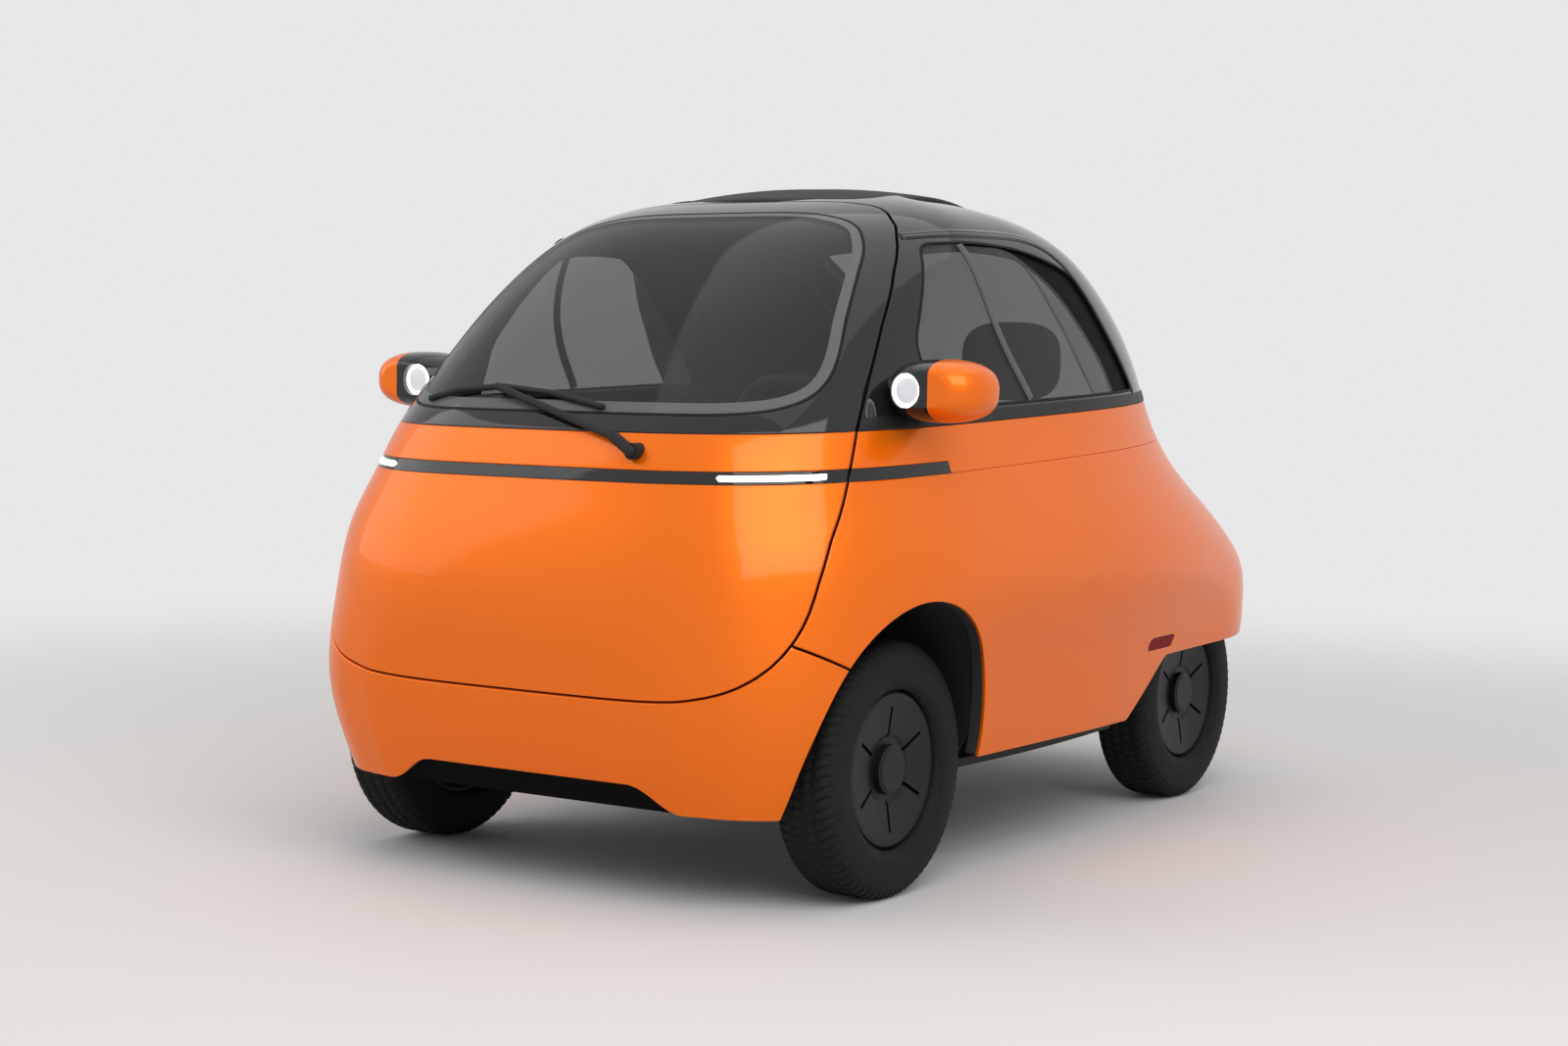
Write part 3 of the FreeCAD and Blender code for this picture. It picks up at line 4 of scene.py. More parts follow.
import bmesh
import bpy
import numpy as np
from mathutils import Matrix, Vector
from mathutils.kdtree import KDTree


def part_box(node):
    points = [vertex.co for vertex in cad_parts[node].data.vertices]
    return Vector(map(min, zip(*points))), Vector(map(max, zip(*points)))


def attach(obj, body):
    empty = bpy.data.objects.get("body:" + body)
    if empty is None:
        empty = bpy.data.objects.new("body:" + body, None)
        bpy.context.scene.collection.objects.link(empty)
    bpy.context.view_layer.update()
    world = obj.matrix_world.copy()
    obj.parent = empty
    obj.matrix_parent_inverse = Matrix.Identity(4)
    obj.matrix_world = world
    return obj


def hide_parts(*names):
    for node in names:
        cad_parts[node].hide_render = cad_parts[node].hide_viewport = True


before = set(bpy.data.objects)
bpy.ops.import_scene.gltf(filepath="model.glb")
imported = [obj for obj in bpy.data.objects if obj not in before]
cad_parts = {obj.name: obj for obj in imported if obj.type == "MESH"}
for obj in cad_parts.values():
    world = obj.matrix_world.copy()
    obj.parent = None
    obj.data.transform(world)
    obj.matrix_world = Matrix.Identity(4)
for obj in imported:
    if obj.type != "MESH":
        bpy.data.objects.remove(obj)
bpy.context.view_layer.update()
scene = bpy.context.scene

# Camera, solved from the photograph
CAMERA_PLACE = Vector((3.4133, -5.3292, 1.0952))
CAMERA_AZIMUTH = math.radians(34.0274)
CAMERA_PITCH = math.radians(3.5232)
CAMERA_ROLL = math.radians(0.9136)
CAMERA_LENS = 60.107
CAMERA_SENSOR = 36

# Body skin, with the sections that the solids have
LENGTH = 2.519
WIDTH = 1.473
HEIGHT = 1.501
NOSE_Y = -LENGTH / 2
TAIL_Y = LENGTH / 2
WAIST_Y = -0.250
NOSE_REACH = WAIST_Y - NOSE_Y
TAIL_RUN = 1.870
SECTION_POINTS = 48
# Shares of height, nose reach, tail reach and half width, then front and rear fullness
SKIN_SHARES = (
    (0.1299, 0.9345, 0.9690, 0.8700, 6.20, 2.30),
    (0.1999, 0.9658, 0.9893, 0.8988, 6.20, 2.30),
    (0.2665, 0.9837, 1.0000, 0.9206, 6.00, 2.30),
    (0.3198, 0.9926, 0.9893, 0.9477, 5.20, 2.30),
    (0.3797, 0.9985, 0.9519, 0.9857, 4.30, 2.35),
    (0.4397, 0.9906, 0.8824, 0.9993, 4.00, 2.35),
    (0.4997, 0.9668, 0.7834, 0.9776, 4.00, 2.40),
    (0.5663, 0.9272, 0.6738, 0.9314, 3.90, 2.50),
    (0.6396, 0.8737, 0.5963, 0.8853, 3.80, 2.65),
    (0.7062, 0.7826, 0.5535, 0.8608, 3.60, 2.75),
    (0.7861, 0.6587, 0.4920, 0.8282, 3.40, 2.85),
    (0.8594, 0.5250, 0.4182, 0.7848, 3.20, 2.85),
    (0.9061, 0.4260, 0.3529, 0.7332, 3.00, 2.90),
    (0.9394, 0.3318, 0.2914, 0.6572, 2.90, 2.90),
    (0.9627, 0.2278, 0.2273, 0.5499, 2.80, 2.90),
    (0.9760, 0.1291, 0.1624, 0.4409, 2.80, 2.90),
    (0.9847, 0.0495, 0.1310, 0.3557, 2.70, 2.80),
)
# Size, place and run along the car, height and its run
FRONT_FLARE = (0.024, -0.930, 0.280, 0.420, 0.175)
REAR_FLARE = (0.034, 0.985, 0.240, 0.425, 0.150)
FLARE_START_X = 0.500
TAIL_EDGE_Z = 0.400
TAIL_LEAN = 0.30
TAIL_CROWN = 0.110
TAIL_CROWN_X = 0.600
BODY_WALL = 0.034
BODY_MIDDLE = (0, -0.1, 0.75)

# Gaps between pieces
PANEL_GAP = 0.005
GATE_GAP = 0.006
HAIRLINE = 0.0003
GLASS_GAP = 0.0005
SCREEN_GAP = 0.001
FINE_GAP = 0.0004
REVEAL_GAP = 0.0008
TRIM_GAP = 0.0020
ROOF_UNDERLAP = 0.006
CANVAS_UNDERLAP = 0.020
DOOR_SEAM_REACH = 0.006
BAR_INSET = 0.004
RAIL_DOOR_GAP = 0.007
RAIL_BELT_GAP = 0.002

# Depth, rounding and rise of pieces that are thinner than the body's wall
PANE = dict(depth=0.006, lip=0.001, top=-0.001)
BORDER = dict(depth=0.002, lip=0.0008, top=0.0002)
LIGHT_BAR = dict(depth=0.009, lip=0.001, top=-0.001)
LIT_STRIP = dict(depth=0.004, lip=0.002, top=0.0)
MOULDING = dict(depth=0.009, lip=0.002, top=0.0012)
REVEAL = dict(depth=0.012, lip=0.001, top=-0.007)
TRIM = dict(depth=0.013, lip=0.0005, top=-0.009)
EDGE_ROUNDING = 0.0025
EDGE_ANGLES = (30, 60, 90)

# Seams
BELT_SLOPE = 0.04
BELT_LOW_Z = 0.994
BELT_HIGH_Z = 1.021
LIGHT_LOW_Z = 0.8974
LIGHT_HEIGHT = 0.025
LIGHT_END_Y = -0.651
DOOR_APEX = np.array((0.150, 0.250, 0.850))
DOOR_SHAPE = dict(half=0.632, low=0.420, middle=0.930, top=1.452, taper=0.215, taper_z=0.780,
                  low_fullness=5.3, top_fullness=5.3)
SCREEN_SHAPE = dict(half=0.535, low=0.985, middle=1.200, top=1.421, taper=0.36, taper_z=1.080,
                    low_fullness=8.0, top_fullness=4.8)
TAPER_BLEND = 0.060
BORDER_WIDTH = 0.026
BUMPER_TOP = (-1.140, 0.544)
BUMPER_SLOPE = 0.475
BUMPER_BACK_Y = -1.000
FRONT_AXLE_Y = -0.800
REAR_AXLE_Y = 0.766
AXLE_Z = 0.2665
FRONT_ARCH = (0.308, 0.350)
ARCH_INNER_X = 0.338
SILL_Z = 0.259
SILL_FRONT_Y = -0.507
SILL_REAR_Y = 0.240
TAIL_EDGE_START_Y = 0.430
# Along the car and upwards, as shares of half its length and of its height
SIDE_WINDOW_SHARES = (
    (-0.4145, 0.9007), (-0.4954, 0.8041), (-0.5320, 0.7582), (-0.5280, 0.7222), (-0.5328, 0.6672),
    (0.2900, 0.6944), (0.2493, 0.7262), (0.2025, 0.7981), (0.1104, 0.8574), (-0.0270, 0.8881),
    (-0.1382, 0.9034), (-0.2890, 0.9074),
)
GATE_HALF = 0.380
GATE_LOW_Z = 0.690
GATE_TOP_Y = 0.205
# Half width, front, low edge, corner
GATE_GLASS = (0.300, 0.300, 0.950, 0.060)
GATE_GLASS_RUN = 1.4
# Half width, front, rear, corner
CANVAS_PLAN = (0.300, -0.420, 0.130, 0.090)
# Half width, half width at the top, top, ends
INTAKE = (0.385, 0.262, 0.248, 0.195)
WINDOW_CORNER = 0.026
WINDOW_CORNERS = (0, 4, 5)
ARC_RUN_SHARE = 0.45
RAIL_COVER = 0.010
# Low edge, height, half width
GATE_LIGHT = (0.800, 0.034, 0.350)
# Inner end, outer end, height
LED_STRIP = (0.421, 0.590, 0.012)
# Front, rear, low, high, slant
MARKER = (0.290, 0.470, 0.420, 0.450, 0.016)
# Places along the car and upwards
RAIL_LINE = ((-0.760, 1.332), (-0.560, 1.3635), (-0.430, 1.377), (-0.245, 1.3825), (-0.080, 1.377),
             (0.017, 1.350), (0.105, 1.287), (0.208, 1.181), (0.340, 1.045), (0.372, 1.005))
RAIL_LINE_END = (0.400, 0.960)
REVEAL_LINE = ((-0.400, 1.3530), (-0.300, 1.3535), (-0.226, 1.350), (-0.139, 1.315), (-0.039, 1.256),
               (0.053, 1.177), (0.142, 1.092), (0.180, 1.036), (0.200, 1.000))
TRIM_LINE = ((-0.240, 1.350), (-0.200, 1.343), (-0.137, 1.312), (-0.090, 1.251), (-0.025, 1.167),
             (0.035, 1.087), (0.079, 1.036), (0.100, 1.000))
DIVIDER_LINE = ((-0.412, 1.372), (-0.404, 1.330), (-0.374, 1.193), (-0.310, 1.085), (-0.261, 1.022),
                (-0.250, 1.005))
AHEAD_OF_ALL_Y = -1.2
ABOVE_ALL_Z = 1.6
# Closed sections, across a moulding and outwards
SEAL_SECTION = ((-0.0035, -0.0020), (-0.0035, 0.0004), (-0.0020, 0.0012), (0.0020, 0.0012),
                (0.0035, 0.0004), (0.0035, -0.0020))
RAIL_SECTION = ((-0.0125, -0.0030), (-0.0125, 0.0006), (-0.0110, 0.0022), (-0.0060, 0.0034),
                (-0.0012, 0.0036), (0.0000, 0.0026), (0.0012, 0.0036), (0.0060, 0.0034), (0.0110, 0.0022),
                (0.0125, 0.0006), (0.0125, -0.0030))
BAR_SECTION = ((-0.0115, -0.0020), (-0.0115, 0.0006), (-0.0095, 0.0016), (0.0095, 0.0016),
               (0.0115, 0.0006), (0.0115, -0.0020))

# Limits beyond which a rule doesn't hold
SIDE_ONLY_X = 0.15
ROOF_ONLY_Z = 1.2
NOSE_ONLY_Y = -1.0
DOOR_ONLY_Y = -0.3
BUMPER_FLOOR_Z = 0.15
APEX_CLEARANCE = 0.05

# Mesh fineness
NORMAL_WEIGHT = 100
NORMAL_THRESHOLD = 0.02
GRID_AROUND = 420
GRID_UP = 150
FINE_TURNS = 4801
WIDEST_ROW = 5
OUTLINE_POINTS = 144
TAIL_GRID = ((-0.74, 0.74, 150), (0.385, 0.860, 50))
LINE_POINTS = 48
STRIP_POINTS = 180
RIM_PITCH = 0.006
SLOPE_STEP = 0.004
SNAP = 0.0030
PAINTED_EDGE = 0.008


def power(value, exponent):
    return np.sign(value) * np.abs(value) ** exponent


def bump(value, centre, run):
    return np.exp(-((value - centre) / run) ** 2)


def skin_row(row):
    height, nose, tail, width, front_fullness, rear_fullness = row
    turn = 2 * math.pi * np.arange(SECTION_POINTS) / SECTION_POINTS
    across, along = np.cos(turn), np.sin(turn)
    ahead = along < 0
    fullness = np.where(ahead, front_fullness, rear_fullness)
    reach = np.where(ahead, nose * NOSE_REACH, tail * TAIL_RUN)
    x = WIDTH / 2 * width * power(across, 2 / fullness)
    y = WAIST_Y + reach * power(along, 2 / fullness)
    z = np.full(SECTION_POINTS, HEIGHT * height)
    flare = sum(size * bump(y, at_y, run_y) * bump(z, at_z, run_z)
                for size, at_y, run_y, at_z, run_z in (FRONT_FLARE, REAR_FLARE))
    out = np.minimum(np.abs(x) / FLARE_START_X, 1) ** 2
    return np.stack([x + np.copysign(out * flare, x), y, z], -1)


def spline_through(knots, values, at):
    """Natural cubic spline down the first axis of values"""
    step = np.diff(knots)
    count = len(knots)
    matrix = np.eye(count)
    right = np.zeros_like(values)
    shape = (-1,) + (1,) * (values.ndim - 1)
    slope = np.diff(values, axis=0) / step.reshape(shape)
    for i in range(1, count - 1):
        matrix[i, i - 1:i + 2] = step[i - 1], 2 * (step[i - 1] + step[i]), step[i]
        right[i] = 6 * (slope[i] - slope[i - 1])
    bend = np.linalg.solve(matrix, right.reshape(count, -1)).reshape(values.shape)
    i = np.clip(np.searchsorted(knots, at, side="right") - 1, 0, count - 2)
    h = step[i].reshape(shape)
    a = (knots[i + 1] - at).reshape(shape) / h
    b = (at - knots[i]).reshape(shape) / h
    curve = ((a ** 3 - a) * bend[i] + (b ** 3 - b) * bend[i + 1]) * h ** 2 / 6
    return a * values[i] + b * values[i + 1] + curve


SKIN_ROWS = np.array([skin_row(row) for row in SKIN_SHARES])
ROW_KNOTS = np.r_[0, np.cumsum(np.linalg.norm(np.diff(SKIN_ROWS, axis=0), axis=2).mean(1))]


def sections(turns):
    """Every row's closed cubic spline, at turns counted in section points"""
    wave = (4 + 2 * np.cos(2 * math.pi * np.arange(SECTION_POINTS) / SECTION_POINTS)) / 6
    controls = np.fft.ifft(np.fft.fft(SKIN_ROWS, axis=1) / wave[None, :, None], axis=1).real
    first = np.floor(turns).astype(int)
    t = turns - first
    weights = ((1 - t) ** 3, 3 * t ** 3 - 6 * t ** 2 + 4, -3 * t ** 3 + 3 * t ** 2 + 3 * t + 1, t ** 3)
    return sum(controls[:, (first + k - 1) % SECTION_POINTS] * (weight / 6)[None, :, None]
               for k, weight in enumerate(weights))


def even_turns(count):
    """Section parameters evenly spaced along the widest row"""
    fine = np.linspace(0, SECTION_POINTS, FINE_TURNS)
    path = sections(fine)[WIDEST_ROW]
    length = np.r_[0, np.cumsum(np.linalg.norm(np.diff(path, axis=0), axis=1))]
    return np.interp(np.arange(count) / count * length[-1], length, fine)


def skin_grid(around, up):
    columns = sections(even_turns(around))
    heights = np.linspace(0, ROW_KNOTS[-1], up)
    return spline_through(ROW_KNOTS, columns, heights)


SKIN = skin_grid(GRID_AROUND, GRID_UP)


def nose_y(x, z):
    """Place of the skin ahead of the waist"""
    share = z / HEIGHT
    rows = [row[0] for row in SKIN_SHARES]
    nose, width, fullness = (np.interp(share, rows, [row[k] for row in SKIN_SHARES]) for k in (1, 3, 4))
    inward = 1 - np.minimum(np.abs(x) / (WIDTH / 2 * width), 1) ** fullness
    return WAIST_Y - NOSE_REACH * nose * inward ** (1 / fullness)


def nose_outline(half, low, middle, top, taper, taper_z, low_fullness, top_fullness):
    """Closed line on the skin: an oval with full corners that narrows upwards"""
    turn = 2 * math.pi * np.arange(OUTLINE_POINTS) / OUTLINE_POINTS
    across, up = np.cos(turn), np.sin(turn)
    fullness = np.where(up > 0, top_fullness, low_fullness)
    size = (np.abs(across) ** fullness + np.abs(up) ** fullness) ** (-1 / fullness)
    z = middle + size * up * np.where(up > 0, top - middle, middle - low)
    rise = z - taper_z
    x = size * across * (half - taper * (np.hypot(rise, TAPER_BLEND) + rise) / 2)
    return np.stack([x, nose_y(x, z), z], -1)


def polygon_distance(places, outline):
    """Signed distance of flat places to a closed outline, positive inside"""
    best = np.full(len(places), 1e9)
    inside = np.zeros(len(places), bool)
    px, py = places[:, 0].copy(), places[:, 1].copy()
    for (ax, ay), (dx, dy) in zip(outline, np.roll(outline, -1, 0) - outline):
        rx, ry = px - ax, py - ay
        t = np.clip((rx * dx + ry * dy) / (dx * dx + dy * dy), 0, 1)
        best = np.minimum(best, (rx - t * dx) ** 2 + (ry - t * dy) ** 2)
        if dy != 0:
            inside ^= ((ry >= 0) != (ry >= dy)) & (rx < ry * dx / dy)
    best = np.sqrt(best)
    return np.where(inside, best, -best)


def cone(shape):
    """Distance inside an outline on the nose, seen from the door's apex, measured at the skin"""
    outline = nose_outline(**shape)
    flat = (outline - DOOR_APEX)[:, [0, 2]] / (DOOR_APEX[1] - outline[:, 1])[:, None]

    def inside(places):
        rel = places - DOOR_APEX
        ahead = -rel[:, 1]
        ok = ahead > APEX_CLEARANCE
        run = np.where(ok, ahead, 1.0)
        value = polygon_distance(rel[:, [0, 2]] / run[:, None], flat) * run
        return np.where(ok, value, -1.0)
    return inside


in_door = cone(DOOR_SHAPE)
in_screen = cone(SCREEN_SHAPE)


def under(height, slope=BELT_SLOPE):
    return lambda p: height + slope * p[:, 1] - p[:, 2]


def over(height, slope=BELT_SLOPE):
    return lambda p: p[:, 2] - height - slope * p[:, 1]


def without(rule, gap=0.0):
    """Keeps what lies outside a rule's area, by a gap"""
    return lambda p: -rule(p) - gap


def within(rule, gap=0.0):
    return lambda p: rule(p) - gap


def in_bumper(p):
    top_y, top_z = BUMPER_TOP
    top = (top_z + BUMPER_SLOPE * (top_y - p[:, 1]) - p[:, 2]) / math.hypot(1, BUMPER_SLOPE)
    return np.minimum(top, BUMPER_BACK_Y - p[:, 1])


def in_front_arch(p):
    half, rise = FRONT_ARCH
    y, z = p[:, 1] - FRONT_AXLE_Y, p[:, 2] - AXLE_Z
    reach = np.hypot(y / half, z / rise)
    size = np.hypot(y, z) + 1e-9
    oval = (1 - reach) * size / (reach + 1e-9)
    low = np.minimum(half - np.abs(y), -z)
    return np.where(np.abs(p[:, 0]) > ARCH_INNER_X, np.maximum(oval, low), -1.0)


def above_sill(p):
    y = p[:, 1]
    edge = np.interp(y, [SILL_FRONT_Y, SILL_REAR_Y, TAIL_EDGE_START_Y], [SILL_Z, SILL_Z, TAIL_EDGE_Z])
    edge = np.where(y < SILL_FRONT_Y, BUMPER_FLOOR_Z, edge)
    return p[:, 2] - edge


def tail_y(x, z):
    return TAIL_Y - TAIL_LEAN * (z - TAIL_EDGE_Z) - TAIL_CROWN * (x / TAIL_CROWN_X) ** 2


def ahead_of_tail(depth=0.0):
    return lambda p: (tail_y(p[:, 0], p[:, 2]) - depth - p[:, 1]) / math.hypot(1, TAIL_LEAN)


def in_gate(p):
    return np.minimum(np.minimum(GATE_HALF - np.abs(p[:, 0]), p[:, 1] - GATE_TOP_Y), p[:, 2] - GATE_LOW_Z)


def in_rounded(x, y, half_x, y0, y1, corner):
    dx = np.abs(x) - (half_x - corner)
    dy = np.abs(y - (y0 + y1) / 2) - ((y1 - y0) / 2 - corner)
    outside = np.hypot(np.maximum(dx, 0), np.maximum(dy, 0))
    return corner - outside - np.minimum(np.maximum(dx, dy), 0)


def in_canvas(p):
    half, y0, y1, corner = CANVAS_PLAN
    return np.where(p[:, 2] > ROOF_ONLY_Z, in_rounded(p[:, 0], p[:, 1], half, y0, y1, corner), -1.0)


def in_gate_glass(p):
    half, y0, low, corner = GATE_GLASS
    plan = in_rounded(p[:, 0], p[:, 1], half, y0, y0 + GATE_GLASS_RUN, corner)
    return np.minimum(plan, p[:, 2] - low)


def unit(vector):
    return vector / np.linalg.norm(vector)


def rounded_outline(points, runs, steps=9):
    """Closed outline whose corners are arcs that start and end at these distances from them"""
    outline = []
    for i, corner in enumerate(points):
        back = unit(points[i - 1] - corner)
        on = unit(points[(i + 1) % len(points)] - corner)
        half = math.acos(np.clip(back @ on, -1, 1)) / 2
        centre = corner + unit(back + on) * runs[i] / math.cos(half)
        start, end = corner + back * runs[i] - centre, corner + on * runs[i] - centre
        for share in np.linspace(0, 1, steps):
            way = unit(start * (1 - share) + end * share)
            outline.append(centre + way * np.linalg.norm(start))
    return np.array(outline)


def window_outline():
    points = np.array(SIDE_WINDOW_SHARES) * (TAIL_Y, HEIGHT)
    reach = np.linalg.norm(np.roll(points, -1, 0) - points, axis=1)
    runs = ARC_RUN_SHARE * np.minimum(reach, np.roll(reach, 1))
    runs[list(WINDOW_CORNERS)] = WINDOW_CORNER
    return rounded_outline(points, runs)


WINDOW_OUTLINE = window_outline()


def smooth_line(points, count=LINE_POINTS):
    points = np.array(points)
    knots = np.r_[0, np.cumsum(np.linalg.norm(np.diff(points, axis=0), axis=1))]
    return spline_through(knots, points, np.linspace(0, knots[-1], count))


def ahead_of_line(points):
    """Distance on the front side of a line seen from the side, which runs from the roof down to the belt"""
    line = smooth_line(points)
    beyond = [(AHEAD_OF_ALL_Y, line[-1][1]), (AHEAD_OF_ALL_Y, ABOVE_ALL_Z), (line[0][0], ABOVE_ALL_Z)]
    outline = np.vstack([line, beyond])
    return lambda p: polygon_distance(p[:, 1:], outline)


ahead_of_reveal = ahead_of_line(REVEAL_LINE)
ahead_of_trim = ahead_of_line(TRIM_LINE)
under_rail = ahead_of_line(RAIL_LINE + (RAIL_LINE_END,))


def in_side_window(p):
    value = np.minimum(polygon_distance(p[:, 1:], WINDOW_OUTLINE), under_rail(p) - RAIL_COVER)
    return np.where(np.abs(p[:, 0]) > SIDE_ONLY_X, value, -1.0)


def in_intake(p):
    half, top_half, top, low = INTAKE
    across = np.abs(p[:, 0])
    share = np.clip((across - top_half) / (half - top_half), 0, 1)
    edge = top - (1 - np.cos(math.pi * share)) / 2 * (top - low)
    return np.where(p[:, 1] < NOSE_ONLY_Y, np.minimum(edge - p[:, 2], half - across), -1.0)


def in_gate_light(p):
    low, height, half = GATE_LIGHT
    rise = p[:, 2] - low - BELT_SLOPE * p[:, 1]
    return np.minimum(np.minimum(rise, height - rise), half - np.abs(p[:, 0]))


def in_strip(p):
    inner, outer, height = LED_STRIP
    low = LIGHT_LOW_Z + (LIGHT_HEIGHT - height) / 2
    across = np.abs(p[:, 0])
    rise = p[:, 2] - low - BELT_SLOPE * p[:, 1]
    inside = np.minimum.reduce([across - inner, outer - across, rise, height - rise])
    return np.where(p[:, 1] < DOOR_ONLY_Y, inside, -1.0)


def in_marker(p):
    y0, y1, low, high, slant = MARKER
    share = (p[:, 2] - low) / (high - low)
    start = y0 + slant * share
    end = start + y1 - y0 - slant
    inside = np.minimum.reduce([p[:, 1] - start, end - p[:, 1], p[:, 2] - low, high - p[:, 2]])
    return np.where(np.abs(p[:, 0]) > SIDE_ONLY_X, inside, -1.0)


def row_values(z):
    """Reach, width and fullness of the tail's sections at these heights"""
    rows = np.array(SKIN_SHARES)
    return [spline_through(rows[:, 0], rows[:, k], z / HEIGHT) for k in (2, 3, 5)]


def within_skin(p):
    tail, width, fullness = row_values(p[:, 2])
    size, at_y, run_y, at_z, run_z = REAR_FLARE
    flare = size * bump(p[:, 1], at_y, run_y) * bump(p[:, 2], at_z, run_z)
    outer = np.abs(p[:, 0])
    base = outer
    for _ in range(4):
        base = outer - np.minimum(base / FLARE_START_X, 1) ** 2 * flare
    across = base / (WIDTH / 2 * width)
    along = np.maximum(p[:, 1] - WAIST_Y, 0) / (tail * TAIL_RUN)
    reach = (across ** fullness + along ** fullness) ** (1 / fullness)
    return (1 - reach) * np.hypot(p[:, 0], p[:, 1] - WAIST_Y)


def left(p):
    return p[:, 0]


def right(p):
    return -p[:, 0]


def intersect(*rules):
    return lambda p: np.minimum.reduce([rule(p) for rule in rules])


def patch_from_grid(grid, rules, wrap=True):
    """Mesh of the grid's cells that any rule leaves standing"""
    up, around = grid.shape[:2]
    flat = grid.reshape(-1, 3)
    fits = np.ones(len(flat), bool)
    for rule in rules:
        fits &= rule(flat) > 0
    fits = fits.reshape(up, around)
    last = around if wrap else around - 1
    i, j = np.meshgrid(np.arange(up - 1), np.arange(last), indexing="ij")
    k = (j + 1) % around
    any_fit = fits[i, j] | fits[i, k] | fits[i + 1, j] | fits[i + 1, k]
    wide = any_fit.copy()
    wide[1:] |= any_fit[:-1]
    wide[:-1] |= any_fit[1:]
    wide |= np.roll(any_fit, 1, 1) | np.roll(any_fit, -1, 1)
    i, j, k = i[wide], j[wide], k[wide]
    lower, upper = i * around, (i + 1) * around
    quads = np.stack([lower + j, lower + k, upper + k, upper + j], -1)
    used, index = np.unique(quads, return_inverse=True)
    index = index.reshape(quads.shape)
    mesh = bmesh.new()
    verts = [mesh.verts.new(co) for co in flat[used]]
    for quad in index:
        mesh.faces.new([verts[n] for n in quad])
    return mesh


def gradient(rule, places, step=0.0005):
    parts = []
    for axis in range(3):
        shift = np.zeros(3)
        shift[axis] = step
        parts.append((rule(places + shift) - rule(places - shift)) / (2 * step))
    return np.stack(parts, -1)


def cut(mesh, rule):
    """Trims a patch along the line where a rule is zero and keeps the positive side"""
    layer = mesh.verts.layers.float.get("side") or mesh.verts.layers.float.new("side")
    verts = list(mesh.verts)
    places = np.array([v.co for v in verts])
    side = rule(places)
    if side.min() > 0:
        return
    near = np.abs(side) < SNAP
    if near.any():
        mesh.normal_update()
        facing = np.array([verts[n].normal for n in np.nonzero(near)[0]])
        slope = gradient(rule, places[near])
        slope -= facing * (slope * facing).sum(1)[:, None]
        size = np.maximum((slope ** 2).sum(1), 0.25)
        moved = places[near] - slope * (side[near] / size)[:, None]
        for v, co in zip([verts[n] for n in np.nonzero(near)[0]], moved):
            v.co = co
        side[near] = 0.0
    for v, value in zip(verts, side):
        v[layer] = value
    crossing = [e for e in mesh.edges if e.verts[0][layer] * e.verts[1][layer] < 0]
    if crossing:
        a = np.array([e.verts[0].co for e in crossing])
        b = np.array([e.verts[1].co for e in crossing])
        low, high = np.zeros(len(a)), np.ones(len(a))
        start = np.array([e.verts[0][layer] for e in crossing])
        for _ in range(12):
            middle = (low + high) / 2
            value = rule(a + (b - a) * middle[:, None])
            same = value * start > 0
            low = np.where(same, middle, low)
            high = np.where(same, high, middle)
        for edge, share in zip(crossing, (low + high) / 2):
            _, vert = bmesh.utils.edge_split(edge, edge.verts[0], share)
            vert[layer] = 0.0
    on_line = [v for v in mesh.verts if v[layer] == 0.0]
    bmesh.ops.connect_verts(mesh, verts=on_line)
    faces = list(mesh.faces)
    centres = rule(np.array([f.calc_center_median() for f in faces]))
    gone = [f for f, value in zip(faces, centres) if value < -SNAP / 4 or any(v[layer] < 0 for v in f.verts)]
    bmesh.ops.delete(mesh, geom=gone, context="FACES")
    loose = [v for v in mesh.verts if not v.link_faces]
    bmesh.ops.delete(mesh, geom=loose, context="VERTS")


def skin_patch(*rules):
    mesh = patch_from_grid(SKIN, rules)
    for rule in rules:
        cut(mesh, rule)
    return mesh


def tail_patch(*rules):
    """Patch of the flat-leaning, crowned tail face inside the skin"""
    x, z = np.meshgrid(*(np.linspace(*run) for run in TAIL_GRID))
    grid = np.stack([x, tail_y(x, z), z], -1)
    rules = (within_skin,) + rules
    mesh = patch_from_grid(grid, rules, wrap=False)
    for rule in rules:
        cut(mesh, rule)
    return mesh


def outward_faces(mesh):
    bmesh.ops.recalc_face_normals(mesh, faces=mesh.faces)
    centre = Vector(BODY_MIDDLE)
    total = sum(f.calc_area() * f.normal.dot(f.calc_center_median() - centre) for f in mesh.faces)
    if total < 0:
        bmesh.ops.reverse_faces(mesh, faces=mesh.faces)


def grid_facing(grid):
    """Function that gives the grid's outward direction near any places"""
    along = np.roll(grid, -1, 1) - np.roll(grid, 1, 1)
    up = np.gradient(grid, axis=0)
    facing = np.cross(along, up).reshape(-1, 3)
    facing /= np.maximum(np.linalg.norm(facing, axis=1), 1e-12)[:, None]
    points = grid.reshape(-1, 3)
    finder = KDTree(len(points))
    for n, point in enumerate(points):
        finder.insert(point, n)
    finder.balance()

    def facing_at(places):
        found = []
        for place_at in places:
            near = finder.find_n(place_at, 4)
            weights = np.array([1 / (reach ** 2 + 1e-9) for _, _, reach in near])
            found.append((facing[[n for _, n, _ in near]] * weights[:, None]).sum(0))
        found = np.array(found)
        return found / np.linalg.norm(found, axis=1)[:, None]
    return facing_at


skin_facing = grid_facing(SKIN)


def tail_facing(places):
    facing = np.column_stack([2 * TAIL_CROWN * places[:, 0] / TAIL_CROWN_X ** 2, np.ones(len(places)),
                              np.full(len(places), TAIL_LEAN)])
    return facing / np.linalg.norm(facing, axis=1)[:, None]


